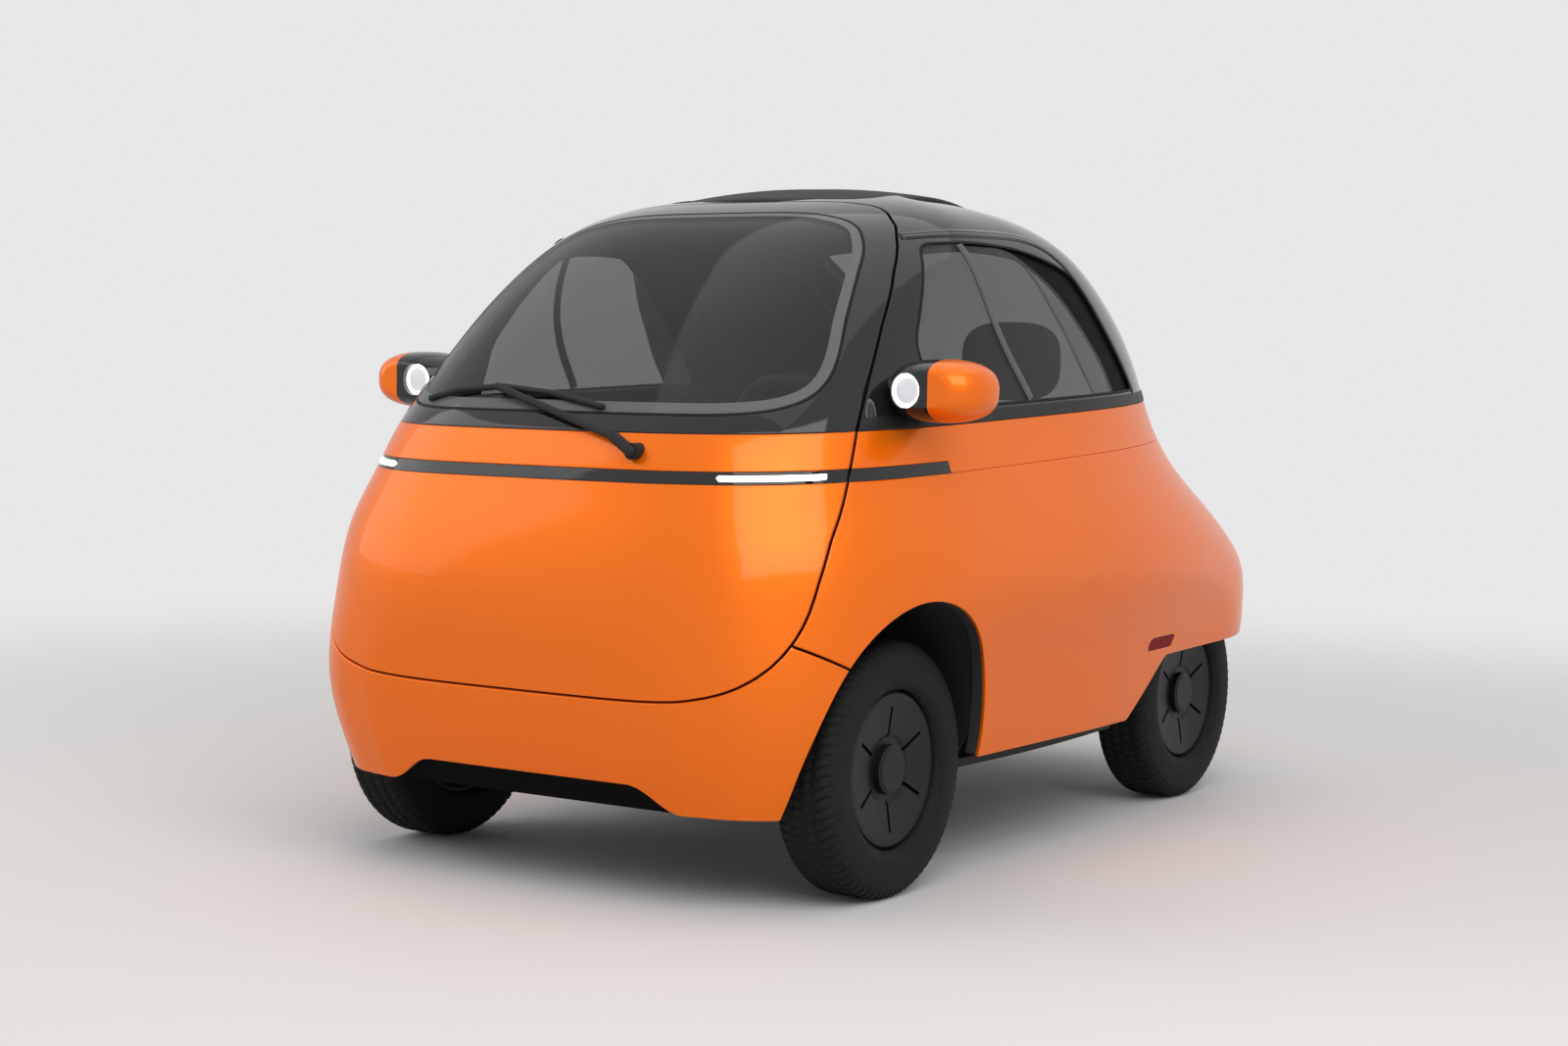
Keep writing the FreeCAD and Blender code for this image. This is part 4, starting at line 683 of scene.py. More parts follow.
def rim_loop(mesh):
    """Longest closed edge of a patch, as evenly spaced places"""
    links = {}
    for edge in mesh.edges:
        if len(edge.link_faces) == 1:
            for a, b in (edge.verts, reversed(edge.verts)):
                links.setdefault(a, []).append(b)
    unused = dict.fromkeys(links)
    best, best_length = None, 0
    while unused:
        walk = [unused.popitem()[0]]
        while True:
            onward = [v for v in links[walk[-1]] if v in unused]
            if not onward:
                break
            unused.pop(onward[0])
            walk.append(onward[0])
        places = np.array([v.co for v in walk])
        length = np.linalg.norm(np.roll(places, -1, 0) - places, axis=1).sum()
        if length > best_length:
            best, best_length = places, length
    steps = np.linalg.norm(np.roll(best, -1, 0) - best, axis=1)
    knots = np.r_[0, np.cumsum(steps)]
    closed = np.vstack([best, best[:1]])
    count = int(best_length / RIM_PITCH)
    at = np.arange(count) / count * knots[-1]
    loop = np.column_stack([np.interp(at, knots, closed[:, axis]) for axis in range(3)])
    for _ in range(4):
        loop = (np.roll(loop, 1, 0) + 2 * loop + np.roll(loop, -1, 0)) / 4
    return loop


def tube_faces(count, turn, closed=False):
    """Four-cornered faces along count closed sections of turn points each"""
    return [(i * turn + j, i * turn + (j + 1) % turn, (i + 1) % count * turn + (j + 1) % turn,
             (i + 1) % count * turn + j) for i in range(count if closed else count - 1) for j in range(turn)]


def capped_tube(count, turn):
    """Faces along count sections, with one at each end"""
    ends = [tuple(range(turn - 1, -1, -1)), tuple(range((count - 1) * turn, count * turn))]
    return tube_faces(count, turn) + ends


def seal_around(name, mesh, body):
    """Rubber seal along the edge of a patch of the skin"""
    loop = rim_loop(mesh)
    mesh.free()
    facing = skin_facing(loop)
    along = np.roll(loop, -1, 0) - np.roll(loop, 1, 0)
    along /= np.linalg.norm(along, axis=1)[:, None]
    across = np.cross(facing, along)
    verts = np.stack([loop + across * s + facing * h for s, h in SEAL_SECTION], 1).reshape(-1, 3)
    faces = tube_faces(len(loop), len(SEAL_SECTION), closed=True)
    return place(make_object(name, verts, faces, seal_black), body, "black_plastic")


def seam_way(places, normals):
    """Direction of a panel's edge walls: towards the door's apex along the door's seam, else straight in"""
    towards = DOOR_APEX - places
    towards /= np.linalg.norm(towards, axis=1)[:, None]
    towards /= np.maximum(-(towards * normals).sum(1), 0.35)[:, None]
    by_door = (np.abs(in_door(places)) < DOOR_SEAM_REACH)[:, None]
    return np.where(by_door, towards, -normals)


def shell(mesh, depth, lip, top=0.0, facing=None):
    """Thickens a patch inwards, with rounded edges of radius lip; top shifts the outer face outwards"""
    outward_faces(mesh)
    mesh.normal_update()
    mesh.verts.index_update()
    places = np.array([v.co for v in mesh.verts])
    normals = (facing or skin_facing)(places)
    faces = [[v.index for v in f.verts] for f in mesh.faces]
    inward = np.zeros_like(places)
    rim = []
    for edge in mesh.edges:
        if len(edge.link_faces) == 1:
            face = edge.link_faces[0]
            a, b = edge.verts
            for loop in face.loops:
                if loop.vert == b and loop.link_loop_next.vert == a:
                    a, b = b, a
            run = b.co - a.co
            if run.length < 1e-9:
                continue
            way = np.cross(normals[a.index] + normals[b.index], run)
            way /= max(np.linalg.norm(way), 1e-12)
            rim.append((a.index, b.index))
            inward[a.index] += way
            inward[b.index] += way
    mesh.free()
    edge_points = sorted({i for pair in rim for i in pair})
    size = np.linalg.norm(inward[edge_points], axis=1)
    scale = np.where(size > 0.7, 2 / np.maximum(size, 0.7) ** 2, 1.0)
    inward[edge_points] *= scale[:, None]
    base = places + normals * top
    outer = base.copy()
    outer[edge_points] += inward[edge_points] * lip
    ring_of = {v: n for n, v in enumerate(edge_points)}
    count, rim_count = len(places), len(edge_points)
    down = seam_way(places[edge_points], normals[edge_points])
    rings = [outer]
    for turn in np.radians(EDGE_ANGLES):
        rings.append(base[edge_points] + inward[edge_points] * (lip * (1 - math.sin(turn)))
                     + down * (lip * (1 - math.cos(turn))))
    painted = min(depth * 0.5, PAINTED_EDGE)
    rings.append(base[edge_points] + down * painted)
    rings.append(base[edge_points] + down * (depth + top - lip * 0.3))
    new_faces = list(faces)
    levels = len(rings) - 1

    def ring_index(level, vert):
        return vert if level == 0 else count + (level - 1) * rim_count + ring_of[vert]
    for level in range(levels):
        if level == levels - 1:
            inside_from = len(new_faces)
        for a, b in rim:
            new_faces.append([ring_index(level, b), ring_index(level, a),
                              ring_index(level + 1, a), ring_index(level + 1, b)])
    total = count + levels * rim_count
    inner = places - normals * depth
    inner[edge_points] = rings[-1] + inward[edge_points] * lip * 0.3 + down * (lip * 0.3)
    rings.append(inner)
    for a, b in rim:
        new_faces.append([ring_index(levels, b), ring_index(levels, a), total + a, total + b])
    new_faces += [[total + i for i in reversed(f)] for f in faces]
    return np.concatenate(rings), new_faces, inside_from


def make_object(name, verts, faces, material):
    data = bpy.data.meshes.new(name)
    data.from_pydata([tuple(v) for v in verts], [], [list(map(int, f)) for f in faces])
    data.validate()
    data.update()
    obj = bpy.data.objects.new(name, data)
    scene.collection.objects.link(obj)
    data.materials.append(material)
    data.shade_smooth()
    return obj


def weighted(obj):
    modifier = obj.modifiers.new("weighted", "WEIGHTED_NORMAL")
    modifier.mode = "FACE_AREA"
    modifier.weight = NORMAL_WEIGHT
    modifier.thresh = NORMAL_THRESHOLD
    return obj


def place(obj, body, slot, *nodes):
    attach(obj, body)
    if nodes:
        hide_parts(*nodes)
    return obj


def panel(name, mesh, body, looks, *nodes, depth=BODY_WALL, lip=EDGE_ROUNDING, top=0.0, facing=None):
    """Skin panel, whose inner side is bare trim where it is as thick as the body's wall"""
    slot, material = looks
    verts, faces, inside_from = shell(mesh, depth, lip, top, facing)
    obj = make_object(name, verts, faces, material)
    if depth == BODY_WALL:
        obj.data.materials.append(inner_trim)
        obj.data.polygons.foreach_set("material_index", [int(n >= inside_from) for n in range(len(faces))])
    return place(weighted(obj), body, slot, *nodes)


def side_x(y, z):
    """Half width of the skin at places seen from the side"""
    row = np.interp(z, SKIN[:, 0, 2], np.arange(len(SKIN)))
    low = np.clip(np.floor(row).astype(int), 0, len(SKIN) - 2)
    found = []
    for n, at_y in zip(low, y):
        pair = []
        for ring in SKIN[n:n + 2]:
            half = ring[ring[:, 0] > 0.02]
            half = half[np.argsort(half[:, 1])]
            pair.append(np.interp(at_y, half[:, 1], half[:, 0]))
        found.append(pair)
    found = np.array(found)
    share = row - low
    return found[:, 0] * (1 - share) + found[:, 1] * share


def strip_along(name, points, profile, side, keep, looks):
    """Moulding along a line seen from the side, with a closed section of (across, outward) places"""
    line = smooth_line(points, STRIP_POINTS)
    y, z = line[:, 0], line[:, 1]
    x = side_x(y, z)
    centre = np.column_stack([x, y, z])
    slope_y = (side_x(y + SLOPE_STEP, z) - side_x(y - SLOPE_STEP, z)) / (2 * SLOPE_STEP)
    slope_z = (side_x(y, z + SLOPE_STEP) - side_x(y, z - SLOPE_STEP)) / (2 * SLOPE_STEP)
    facing = np.column_stack([np.ones_like(x), -slope_y, -slope_z])
    facing /= np.linalg.norm(facing, axis=1)[:, None]
    fits = keep(centre)
    centre, facing = centre[fits], facing[fits]
    along = np.gradient(centre, axis=0)
    along /= np.linalg.norm(along, axis=1)[:, None]
    across = np.cross(facing, along)
    rings = [centre + across * s + facing * h for s, h in profile]
    verts = np.stack(rings, 1) * (side, 1, 1)
    faces = capped_tube(len(centre), len(profile))
    if side < 0:
        faces = [f[::-1] for f in faces]
    slot, material = looks
    return place(make_object(name, verts.reshape(-1, 3), faces, material), "root", slot)


# Materials
FINE_DETAIL = 3
COLOUR_DETAIL = 5
COLOUR_ENDS = (0.35, 0.65)
THIN_PANE_IOR = 1.01


def new_material(name, colour, roughness, metallic=0.0, coat=0.0, coat_roughness=0.03, specular=0.5):
    material = bpy.data.materials.new(name)
    material.use_nodes = True
    shader = material.node_tree.nodes["Principled BSDF"]
    shader.inputs["Base Color"].default_value = (*colour, 1)
    shader.inputs["Roughness"].default_value = roughness
    shader.inputs["Metallic"].default_value = metallic
    shader.inputs["Coat Weight"].default_value = coat
    shader.inputs["Coat Roughness"].default_value = coat_roughness
    shader.inputs["Specular IOR Level"].default_value = specular
    return material


def tree(material):
    nodes, links = material.node_tree.nodes, material.node_tree.links
    return nodes, links, nodes["Principled BSDF"]


def noise_node(material, scale, detail):
    nodes, links, _ = tree(material)
    where = nodes.new("ShaderNodeTexCoord")
    noise = nodes.new("ShaderNodeTexNoise")
    noise.inputs["Scale"].default_value = scale
    noise.inputs["Detail"].default_value = detail
    links.new(where.outputs["Object"], noise.inputs["Vector"])
    return noise


def vary_roughness(material, scale, low, high):
    nodes, links, shader = tree(material)
    noise = noise_node(material, scale, FINE_DETAIL)
    ramp = nodes.new("ShaderNodeMapRange")
    ramp.inputs["To Min"].default_value = low
    ramp.inputs["To Max"].default_value = high
    links.new(noise.outputs["Fac"], ramp.inputs["Value"])
    links.new(ramp.outputs["Result"], shader.inputs["Roughness"])


def vary_colour(material, scale, first, second):
    nodes, links, shader = tree(material)
    noise = noise_node(material, scale, COLOUR_DETAIL)
    ramp = nodes.new("ShaderNodeValToRGB")
    for end, place_at, colour in zip(ramp.color_ramp.elements, COLOUR_ENDS, (first, second)):
        end.position = place_at
        end.color = (*colour, 1)
    links.new(noise.outputs["Fac"], ramp.inputs["Fac"])
    links.new(ramp.outputs["Color"], shader.inputs["Base Color"])


def add_bump(material, scale, strength, distance):
    nodes, links, shader = tree(material)
    noise = noise_node(material, scale, FINE_DETAIL)
    height = nodes.new("ShaderNodeBump")
    height.inputs["Strength"].default_value = strength
    height.inputs["Distance"].default_value = distance
    links.new(noise.outputs["Fac"], height.inputs["Height"])
    links.new(height.outputs["Normal"], shader.inputs["Normal"])


def finish(name, colour, roughness, colours=None, sheen=None, bumps=None, **shader):
    """Material whose colour, roughness and height vary as (scale, ...) of a noise says"""
    material = new_material(name, colour, roughness, **shader)
    for vary, values in ((vary_colour, colours), (vary_roughness, sheen), (add_bump, bumps)):
        if values:
            vary(material, *values)
    return material


paint = finish("orange_paint", (0.90, 0.165, 0.003), 0.36, metallic=0.5, coat=0.5, coat_roughness=0.08,
               specular=0.0, colours=(1800, (0.84, 0.150, 0.002), (0.96, 0.185, 0.004)))
gloss_black = finish("gloss_black", (0.010, 0.010, 0.011), 0.12, coat=1.0, coat_roughness=0.05,
                     specular=0.0, sheen=(6, 0.10, 0.16))
satin_black = finish("satin_black", (0.010, 0.010, 0.011), 0.5, specular=0.3, sheen=(40, 0.42, 0.55),
                     bumps=(900, 0.15, 0.0004))
seal_black = finish("seal_black", (0.006, 0.006, 0.006), 0.6, specular=0.2, sheen=(40, 0.55, 0.7),
                    bumps=(900, 0.15, 0.0003))
black_plastic = finish("black_plastic", (0.014, 0.014, 0.015), 0.6, specular=0.25, sheen=(60, 0.55, 0.7),
                       bumps=(1400, 0.25, 0.0004))
rubber = finish("tyre_rubber", (0.009, 0.009, 0.009), 0.7, specular=0.20, bumps=(600, 0.2, 0.0005),
                colours=(90, (0.006, 0.006, 0.006), (0.011, 0.0105, 0.010)))
wheel_cover = finish("wheel_cover", (0.007, 0.007, 0.0075), 0.42, specular=0.25, sheen=(50, 0.36, 0.48),
                     bumps=(1200, 0.12, 0.0003))
steel = finish("steel", (0.42, 0.42, 0.43), 0.35, metallic=1.0, sheen=(80, 0.25, 0.42),
               bumps=(500, 0.1, 0.0003))
chassis = finish("chassis_paint", (0.016, 0.016, 0.018), 0.5, specular=0.3, sheen=(30, 0.42, 0.6),
                 bumps=(300, 0.2, 0.0005))
fabric = finish("seat_fabric", (0.030, 0.030, 0.032), 0.9, bumps=(1500, 0.5, 0.0006),
                colours=(220, (0.022, 0.022, 0.024), (0.040, 0.040, 0.042)))
canvas = finish("roof_fabric", (0.022, 0.022, 0.024), 0.85, bumps=(1800, 0.5, 0.0005),
                colours=(400, (0.016, 0.016, 0.018), (0.030, 0.030, 0.032)))
leather = finish("wheel_leather", (0.018, 0.018, 0.018), 0.5, bumps=(700, 0.35, 0.0004))
border_grey = finish("border_grey", (0.115, 0.118, 0.120), 0.3, coat=0.5, coat_roughness=0.05,
                     specular=0.0, sheen=(8, 0.15, 0.25))
deep_black = finish("deep_black", (0.004, 0.004, 0.004), 0.5, specular=0.03, sheen=(30, 0.45, 0.6))
inner_trim = finish("inner_trim", (0.030, 0.030, 0.031), 0.6, sheen=(60, 0.5, 0.7),
                    bumps=(1200, 0.25, 0.0004))
trim_grey = finish("trim_grey", (0.42, 0.42, 0.42), 0.5, sheen=(30, 0.42, 0.6), bumps=(900, 0.1, 0.0003))
bar_grey = finish("bar_grey", (0.07, 0.07, 0.07), 0.4, sheen=(30, 0.35, 0.5))
mirror_glass = finish("mirror_glass", (0.9, 0.9, 0.9), 0.03, metallic=1.0, sheen=(20, 0.02, 0.05))
marker_red = finish("marker_red", (0.20, 0.004, 0.004), 0.25, coat=0.2, specular=0.0,
                    sheen=(60, 0.2, 0.3))


def mix_shaders(nodes, links, share, first, second):
    mix = nodes.new("ShaderNodeMixShader")
    links.new(share, mix.inputs["Fac"])
    links.new(first, mix.inputs[1])
    links.new(second, mix.inputs[2])
    links.new(mix.outputs["Shader"], nodes["Material Output"].inputs["Surface"])


def glass_material(name, tint):
    """Tinted pane that bends nothing, with the gloss of glass, and lets light in as well as the view"""
    material = new_material(name, tint, 0.0, coat=0.5, specular=0.0)
    nodes, links, shader = tree(material)
    shader.inputs["Transmission Weight"].default_value = 1.0
    shader.inputs["IOR"].default_value = THIN_PANE_IOR
    clear = nodes.new("ShaderNodeBsdfTransparent")
    clear.inputs["Color"].default_value = (*(math.sqrt(c) for c in tint), 1)
    path = nodes.new("ShaderNodeLightPath")
    mix_shaders(nodes, links, path.outputs["Is Shadow Ray"], shader.outputs["BSDF"], clear.outputs["BSDF"])
    return material


def lit_material(name, colour, strength, base=(0.3, 0.3, 0.3), specular=0.5):
    material = new_material(name, base, 0.2, specular=specular)
    _, _, shader = tree(material)
    shader.inputs["Emission Color"].default_value = (*colour, 1)
    shader.inputs["Emission Strength"].default_value = strength
    return material


screen_glass = glass_material("screen_glass", (0.42, 0.43, 0.43))
side_tint = glass_material("side_glass", (0.36, 0.37, 0.37))
led = lit_material("lit_led", (1.0, 0.98, 0.95), 3.0)
lamp_ring = lit_material("lamp_ring", (1.0, 1.0, 1.0), 2.5)
lamp_white = lit_material("lamp_white", (0.92, 0.94, 1.0), 0.5)
tail_red = lit_material("tail_red", (1.0, 0.02, 0.01), 0.25, base=(0.20, 0.003, 0.003), specular=0.1)

# A slot name and the material of each kind of piece
PAINTED = ("body_paint", paint)
BLACK = ("gloss_black", gloss_black)
SATIN = ("gloss_black", satin_black)
SCREEN = ("clear_glass", screen_glass)
SIDE_PANE = ("clear_glass", side_tint)


def finish_cad(material, *nodes):
    for node in nodes:
        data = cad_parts[node].data
        data.materials.clear()
        data.materials.append(material)


# Door
in_door_panel = within(in_door, PANEL_GAP / 2)
beside_door = without(in_door, PANEL_GAP / 2)
light_zone = intersect(over(LIGHT_LOW_Z), under(LIGHT_LOW_Z + LIGHT_HEIGHT), lambda p: LIGHT_END_Y - p[:, 1])
light_rules = (over(LIGHT_LOW_Z + HAIRLINE), under(LIGHT_LOW_Z + LIGHT_HEIGHT - HAIRLINE))
panel("door_lower_skin", skin_patch(in_door_panel, under(LIGHT_LOW_Z)), "front_door", PAINTED, "door_panel")
panel("door_upper_skin", skin_patch(in_door_panel, over(LIGHT_LOW_Z + LIGHT_HEIGHT), under(BELT_LOW_Z)),
      "front_door", PAINTED)
panel("door_ring", skin_patch(in_door_panel, over(BELT_LOW_Z + FINE_GAP), without(in_screen, SCREEN_GAP)),
      "front_door", BLACK, "door_frame")
panel("windscreen_pane", skin_patch(within(in_screen, GLASS_GAP)), "front_door", SCREEN, "windscreen", **PANE)
panel("windscreen_border", skin_patch(within(in_screen, SCREEN_GAP), without(in_screen, -BORDER_WIDTH)),
      "front_door", ("gloss_black", border_grey), **BORDER)
seal_around("windscreen_seal", skin_patch(in_screen), "front_door")
panel("door_light_bar", skin_patch(in_door_panel, *light_rules, without(in_strip, FINE_GAP)), "front_door",
      BLACK, "front_light_bar", **LIGHT_BAR)
panel("door_light_strips", skin_patch(within(in_strip, FINE_GAP)), "front_door", ("lamp_lens", led),
      "front_light_strips", **LIT_STRIP)


# Fixed body
def bar_shows(p):
    return in_side_window(p) > BAR_INSET


def rail_shows(p):
    return (in_door(p) < -RAIL_DOOR_GAP) & (over(BELT_HIGH_Z)(p) > RAIL_BELT_GAP)


for side_name, side, half in (("left", 1, left), ("right", -1, right)):
    rules = (half, beside_door, without(in_bumper, PANEL_GAP), above_sill, without(in_front_arch),
             without(in_gate, GATE_GAP), ahead_of_tail(BODY_WALL + PANEL_GAP))
    panel(side_name + "_lower_skin", skin_patch(*rules, under(LIGHT_LOW_Z), without(in_marker)), "root",
          PAINTED, side_name + "_side_panel")
    panel(side_name + "_upper_skin",
          skin_patch(*rules, over(LIGHT_LOW_Z), under(BELT_LOW_Z), without(light_zone)), "root", PAINTED)
    seal_around(side_name + "_window_seal", skin_patch(half, in_side_window), "root")
    panel(side_name + "_side_pane", skin_patch(half, within(in_side_window, GLASS_GAP), ahead_of_reveal),
          "root", SIDE_PANE, side_name + "_side_glass", **PANE)
    panel(side_name + "_window_reveal",
          skin_patch(half, within(in_side_window, REVEAL_GAP), without(ahead_of_reveal)), "root",
          ("gloss_black", deep_black), **REVEAL)
    panel(side_name + "_window_trim",
          skin_patch(half, within(in_side_window, TRIM_GAP), without(ahead_of_trim), ahead_of_reveal), "root",
          ("black_plastic", trim_grey), **TRIM)
    strip_along(side_name + "_window_bar", DIVIDER_LINE, BAR_SECTION, side, bar_shows,
                ("black_plastic", bar_grey))
    strip_along(side_name + "_roof_rail", RAIL_LINE, RAIL_SECTION, side, rail_shows, BLACK)
panel("side_light_bar", skin_patch(beside_door, *light_rules, lambda p: LIGHT_END_Y - HAIRLINE - p[:, 1]),
      "root", BLACK, "side_light_bars", **LIGHT_BAR)
panel("bumper_skin", skin_patch(beside_door, in_bumper, without(in_front_arch), without(in_intake)), "root",
      PAINTED, "front_bumper")
panel("belt_moulding", skin_patch(beside_door, over(BELT_LOW_Z + HAIRLINE), under(BELT_HIGH_Z - HAIRLINE),
      without(in_gate, GATE_GAP), ahead_of_tail(0.0)), "root", SATIN, "belt_trims", **MOULDING)
panel("roof_skin", skin_patch(beside_door, over(BELT_LOW_Z + ROOF_UNDERLAP), without(in_gate, GATE_GAP),
      without(in_side_window, GLASS_GAP), without(in_canvas, -CANVAS_UNDERLAP), ahead_of_tail(0.0)), "root",
      BLACK, "roof_frame")

# Tail
panel("tail_rim", skin_patch(without(in_gate, GATE_GAP), without(ahead_of_tail(BODY_WALL)),
      ahead_of_tail(0.0), over(TAIL_EDGE_Z, 0.0), under(BELT_LOW_Z)), "root", PAINTED, "rear_panel")
panel("tail_face", tail_patch(without(in_gate, GATE_GAP), over(TAIL_EDGE_Z, 0.0)), "root", PAINTED,
      facing=tail_facing)
panel("gate_tail_face", tail_patch(in_gate, without(in_gate_light)), "tailgate_body", BLACK,
      facing=tail_facing)
panel("gate_skin", skin_patch(in_gate, ahead_of_tail(0.0), without(in_gate_glass, SCREEN_GAP),
      without(in_gate_light)), "tailgate_body", BLACK, "tailgate")
panel("rear_pane", skin_patch(within(in_gate_glass, GLASS_GAP)), "tailgate_body", SIDE_PANE, "rear_glass",
      **PANE)
seal_around("rear_glass_seal", skin_patch(in_gate_glass), "tailgate_body")

# CAD pieces that keep their shape
finish_cad(deep_black, "lower_grille")
finish_cad(black_plastic, "front_wheelhouses", "rear_wheelhouses", "steering_column", "seat_frame",
           "floor_tub", "instrument_housing", "wiper")
finish_cad(gloss_black, "mirror_pods")
finish_cad(tail_red, "rear_light_bar")
finish_cad(paint, "mirror_caps")
finish_cad(mirror_glass, "mirror_glasses")
finish_cad(marker_red, "side_markers")
finish_cad(wheel_cover, *(a + "_" + b + "_wheel" for a in ("front", "rear") for b in ("left", "right")))
finish_cad(steel, "left_knuckle", "right_knuckle", "headrest_posts")
finish_cad(chassis, "front_suspension", "rear_axle", "drive_motor", "traction_battery")
finish_cad(leather, "steering_wheel")


# Tyres, in shares of half their width and of their wall's height
TYRE_SHARES = (
    (-0.80, 0.00), (-0.94, 0.12), (-1.00, 0.42), (-0.97, 0.66), (-0.88, 0.86), (-0.76, 0.95),
    (-0.40, 0.995), (0.00, 1.00), (0.40, 0.995), (0.76, 0.95), (0.88, 0.86), (0.97, 0.66), (1.00, 0.42),
    (0.94, 0.12), (0.80, 0.00))
TYRE_HALF = 0.0725
TYRE_RADIUS = 0.2665
RIM_RADIUS = 0.165
RIM_COVER = 0.012
TYRE_STEPS = 684
TYRE_PITCHES = 76
TYRE_ACROSS = 66
TREAD_DEPTH = 0.0055
FRONT_WHEEL_X = 0.577
REAR_WHEEL_X = 0.484
# Places, half widths and depths of the grooves, as shares
RING_GROOVES = (0.0, 0.40)
RING_HALF = 0.05
SLOT_SLANT = 0.9
SLOT_SHIFT = 0.5
SLOT_HALF = 0.16
MIDDLE_SLOT = (0.06, 0.33, 0.7)
WALL_RIBS = (0.30, 0.62)
WALL_RIB_HALF = 0.02
WALL_RIB_DEPTH = 0.16


def tyre_profile():
    points = np.array(TYRE_SHARES)
    steps = np.diff(points * (TYRE_HALF, TYRE_RADIUS - RIM_RADIUS), axis=0)
    knots = np.r_[0, np.cumsum(np.linalg.norm(steps, axis=1))]
    return spline_through(knots, points, np.linspace(0, knots[-1], TYRE_ACROSS))


def tread(across, wall, turn):
    """Depth of the grooves at a place across the tyre, given as shares, and a turn in tread pitches"""
    reach = np.abs(across)
    ring = sum(np.exp(-((reach - at) / RING_HALF) ** 4) for at in RING_GROOVES) * (wall > 0.9)
    slant = (turn + SLOT_SLANT * reach + SLOT_SHIFT * (across > 0)) % 1
    slot = np.exp(-((slant - 0.5) / SLOT_HALF) ** 4)
    shoulder = slot * np.clip((reach - 0.44) / 0.05, 0, 1) * np.clip((wall - 0.74) / 0.10, 0, 1)
    inner, outer, share = MIDDLE_SLOT
    middle = share * slot * (reach > inner) * (reach < outer)
    ribs = sum(WALL_RIB_DEPTH * np.exp(-((wall - at) / WALL_RIB_HALF) ** 2) for at in WALL_RIBS)
    return TREAD_DEPTH * (np.maximum(np.maximum(ring, shoulder), middle) + ribs)


def add_tyre(wheel, centre_x, centre_y):
    """Grooved ring whose last row of points lies inside the wheel"""
    outward = 1 if centre_x > 0 else -1
    profile = tyre_profile()
    across, wall = profile[:, 0][None, :], profile[:, 1][None, :]
    turn = np.arange(TYRE_STEPS)[:, None] / TYRE_STEPS
    depth = tread(across, wall, turn * TYRE_PITCHES)
    radius = RIM_RADIUS + wall * (TYRE_RADIUS - RIM_RADIUS) - depth * np.clip(wall * 2 - 0.6, 0, 1)
    x = centre_x + outward * across * (TYRE_HALF - depth * (wall < 0.75))
    x = np.hstack([x, np.full((TYRE_STEPS, 1), centre_x)])
    radius = np.hstack([radius, np.full((TYRE_STEPS, 1), RIM_RADIUS + RIM_COVER)])
    angle = 2 * math.pi * turn
    verts = np.stack([x, centre_y + radius * np.cos(angle), AXLE_Z + radius * np.sin(angle)], -1)
    rows = TYRE_ACROSS + 1
    i, j = np.meshgrid(np.arange(TYRE_STEPS), np.arange(rows), indexing="ij")
    k, m = (i + 1) % TYRE_STEPS, (j + 1) % rows
    quads = np.stack([i * rows + j, i * rows + m, k * rows + m, k * rows + j], -1).reshape(-1, 4)
    if outward < 0:
        quads = quads[:, ::-1]
    obj = make_object(wheel + "_tread", verts.reshape(-1, 3), quads, rubber)
    place(obj, wheel + "_road_wheel", "tyre_rubber", wheel + "_tyre")


for side_name, side in (("left", 1), ("right", -1)):
    add_tyre("front_" + side_name, side * FRONT_WHEEL_X, FRONT_AXLE_Y)
    add_tyre("rear_" + side_name, side * REAR_WHEEL_X, REAR_AXLE_Y)

# Canvas roof
CANVAS_HEM = 0.022
CANVAS_THICKNESS = 0.0025
CANVAS_PITCH = 0.012
CANVAS_CORNER_STEPS = 16
# Reach across and along, and rise
CANVAS_CROWN = (0.783, 0.561, 0.300)
# Shares of the way from the middle to the edge, and the number of rings
CANVAS_RINGS = ((0.02, 0.90, 24), (0.91, 0.985, 10))
CANVAS_EDGE = 0.015
CANVAS_EDGE_DROP = 0.005
CANVAS_LEAST_DROP = 0.006
CANVAS_TUCK = 0.003
HEM_DEPTH = 0.0014
HEM_HALF = 0.0025
BOW_RISE = 0.0012
BOW_PITCH = 0.135
BOW_FADE = 1.2
BOW_HALF = 0.25


def skin_height(places):
    """Height of the roof's skin under flat places, from its nearest grid points"""
    top = SKIN[SKIN.shape[0] // 2:].reshape(-1, 3)
    heights = []
    for place_at in places:
        gap = ((top[:, :2] - place_at) ** 2).sum(1)
        near = np.argpartition(gap, 4)[:4]
        weight = 1 / (gap[near] + 1e-8)
        heights.append((top[near, 2] * weight).sum() / weight.sum())
    return np.array(heights)


def canvas_top(x, y):
    reach_x, reach_y, rise = CANVAS_CROWN
    middle = (CANVAS_PLAN[1] + CANVAS_PLAN[2]) / 2
    crown = HEIGHT - rise + rise * np.sqrt(1 - (x / reach_x) ** 2 - ((y - middle) / reach_y) ** 2)
    bows = BOW_RISE * np.cos(2 * math.pi * (y - middle) / BOW_PITCH)
    return crown - BOW_RISE + bows * np.clip(BOW_FADE - np.abs(x) / BOW_HALF, 0, 1)


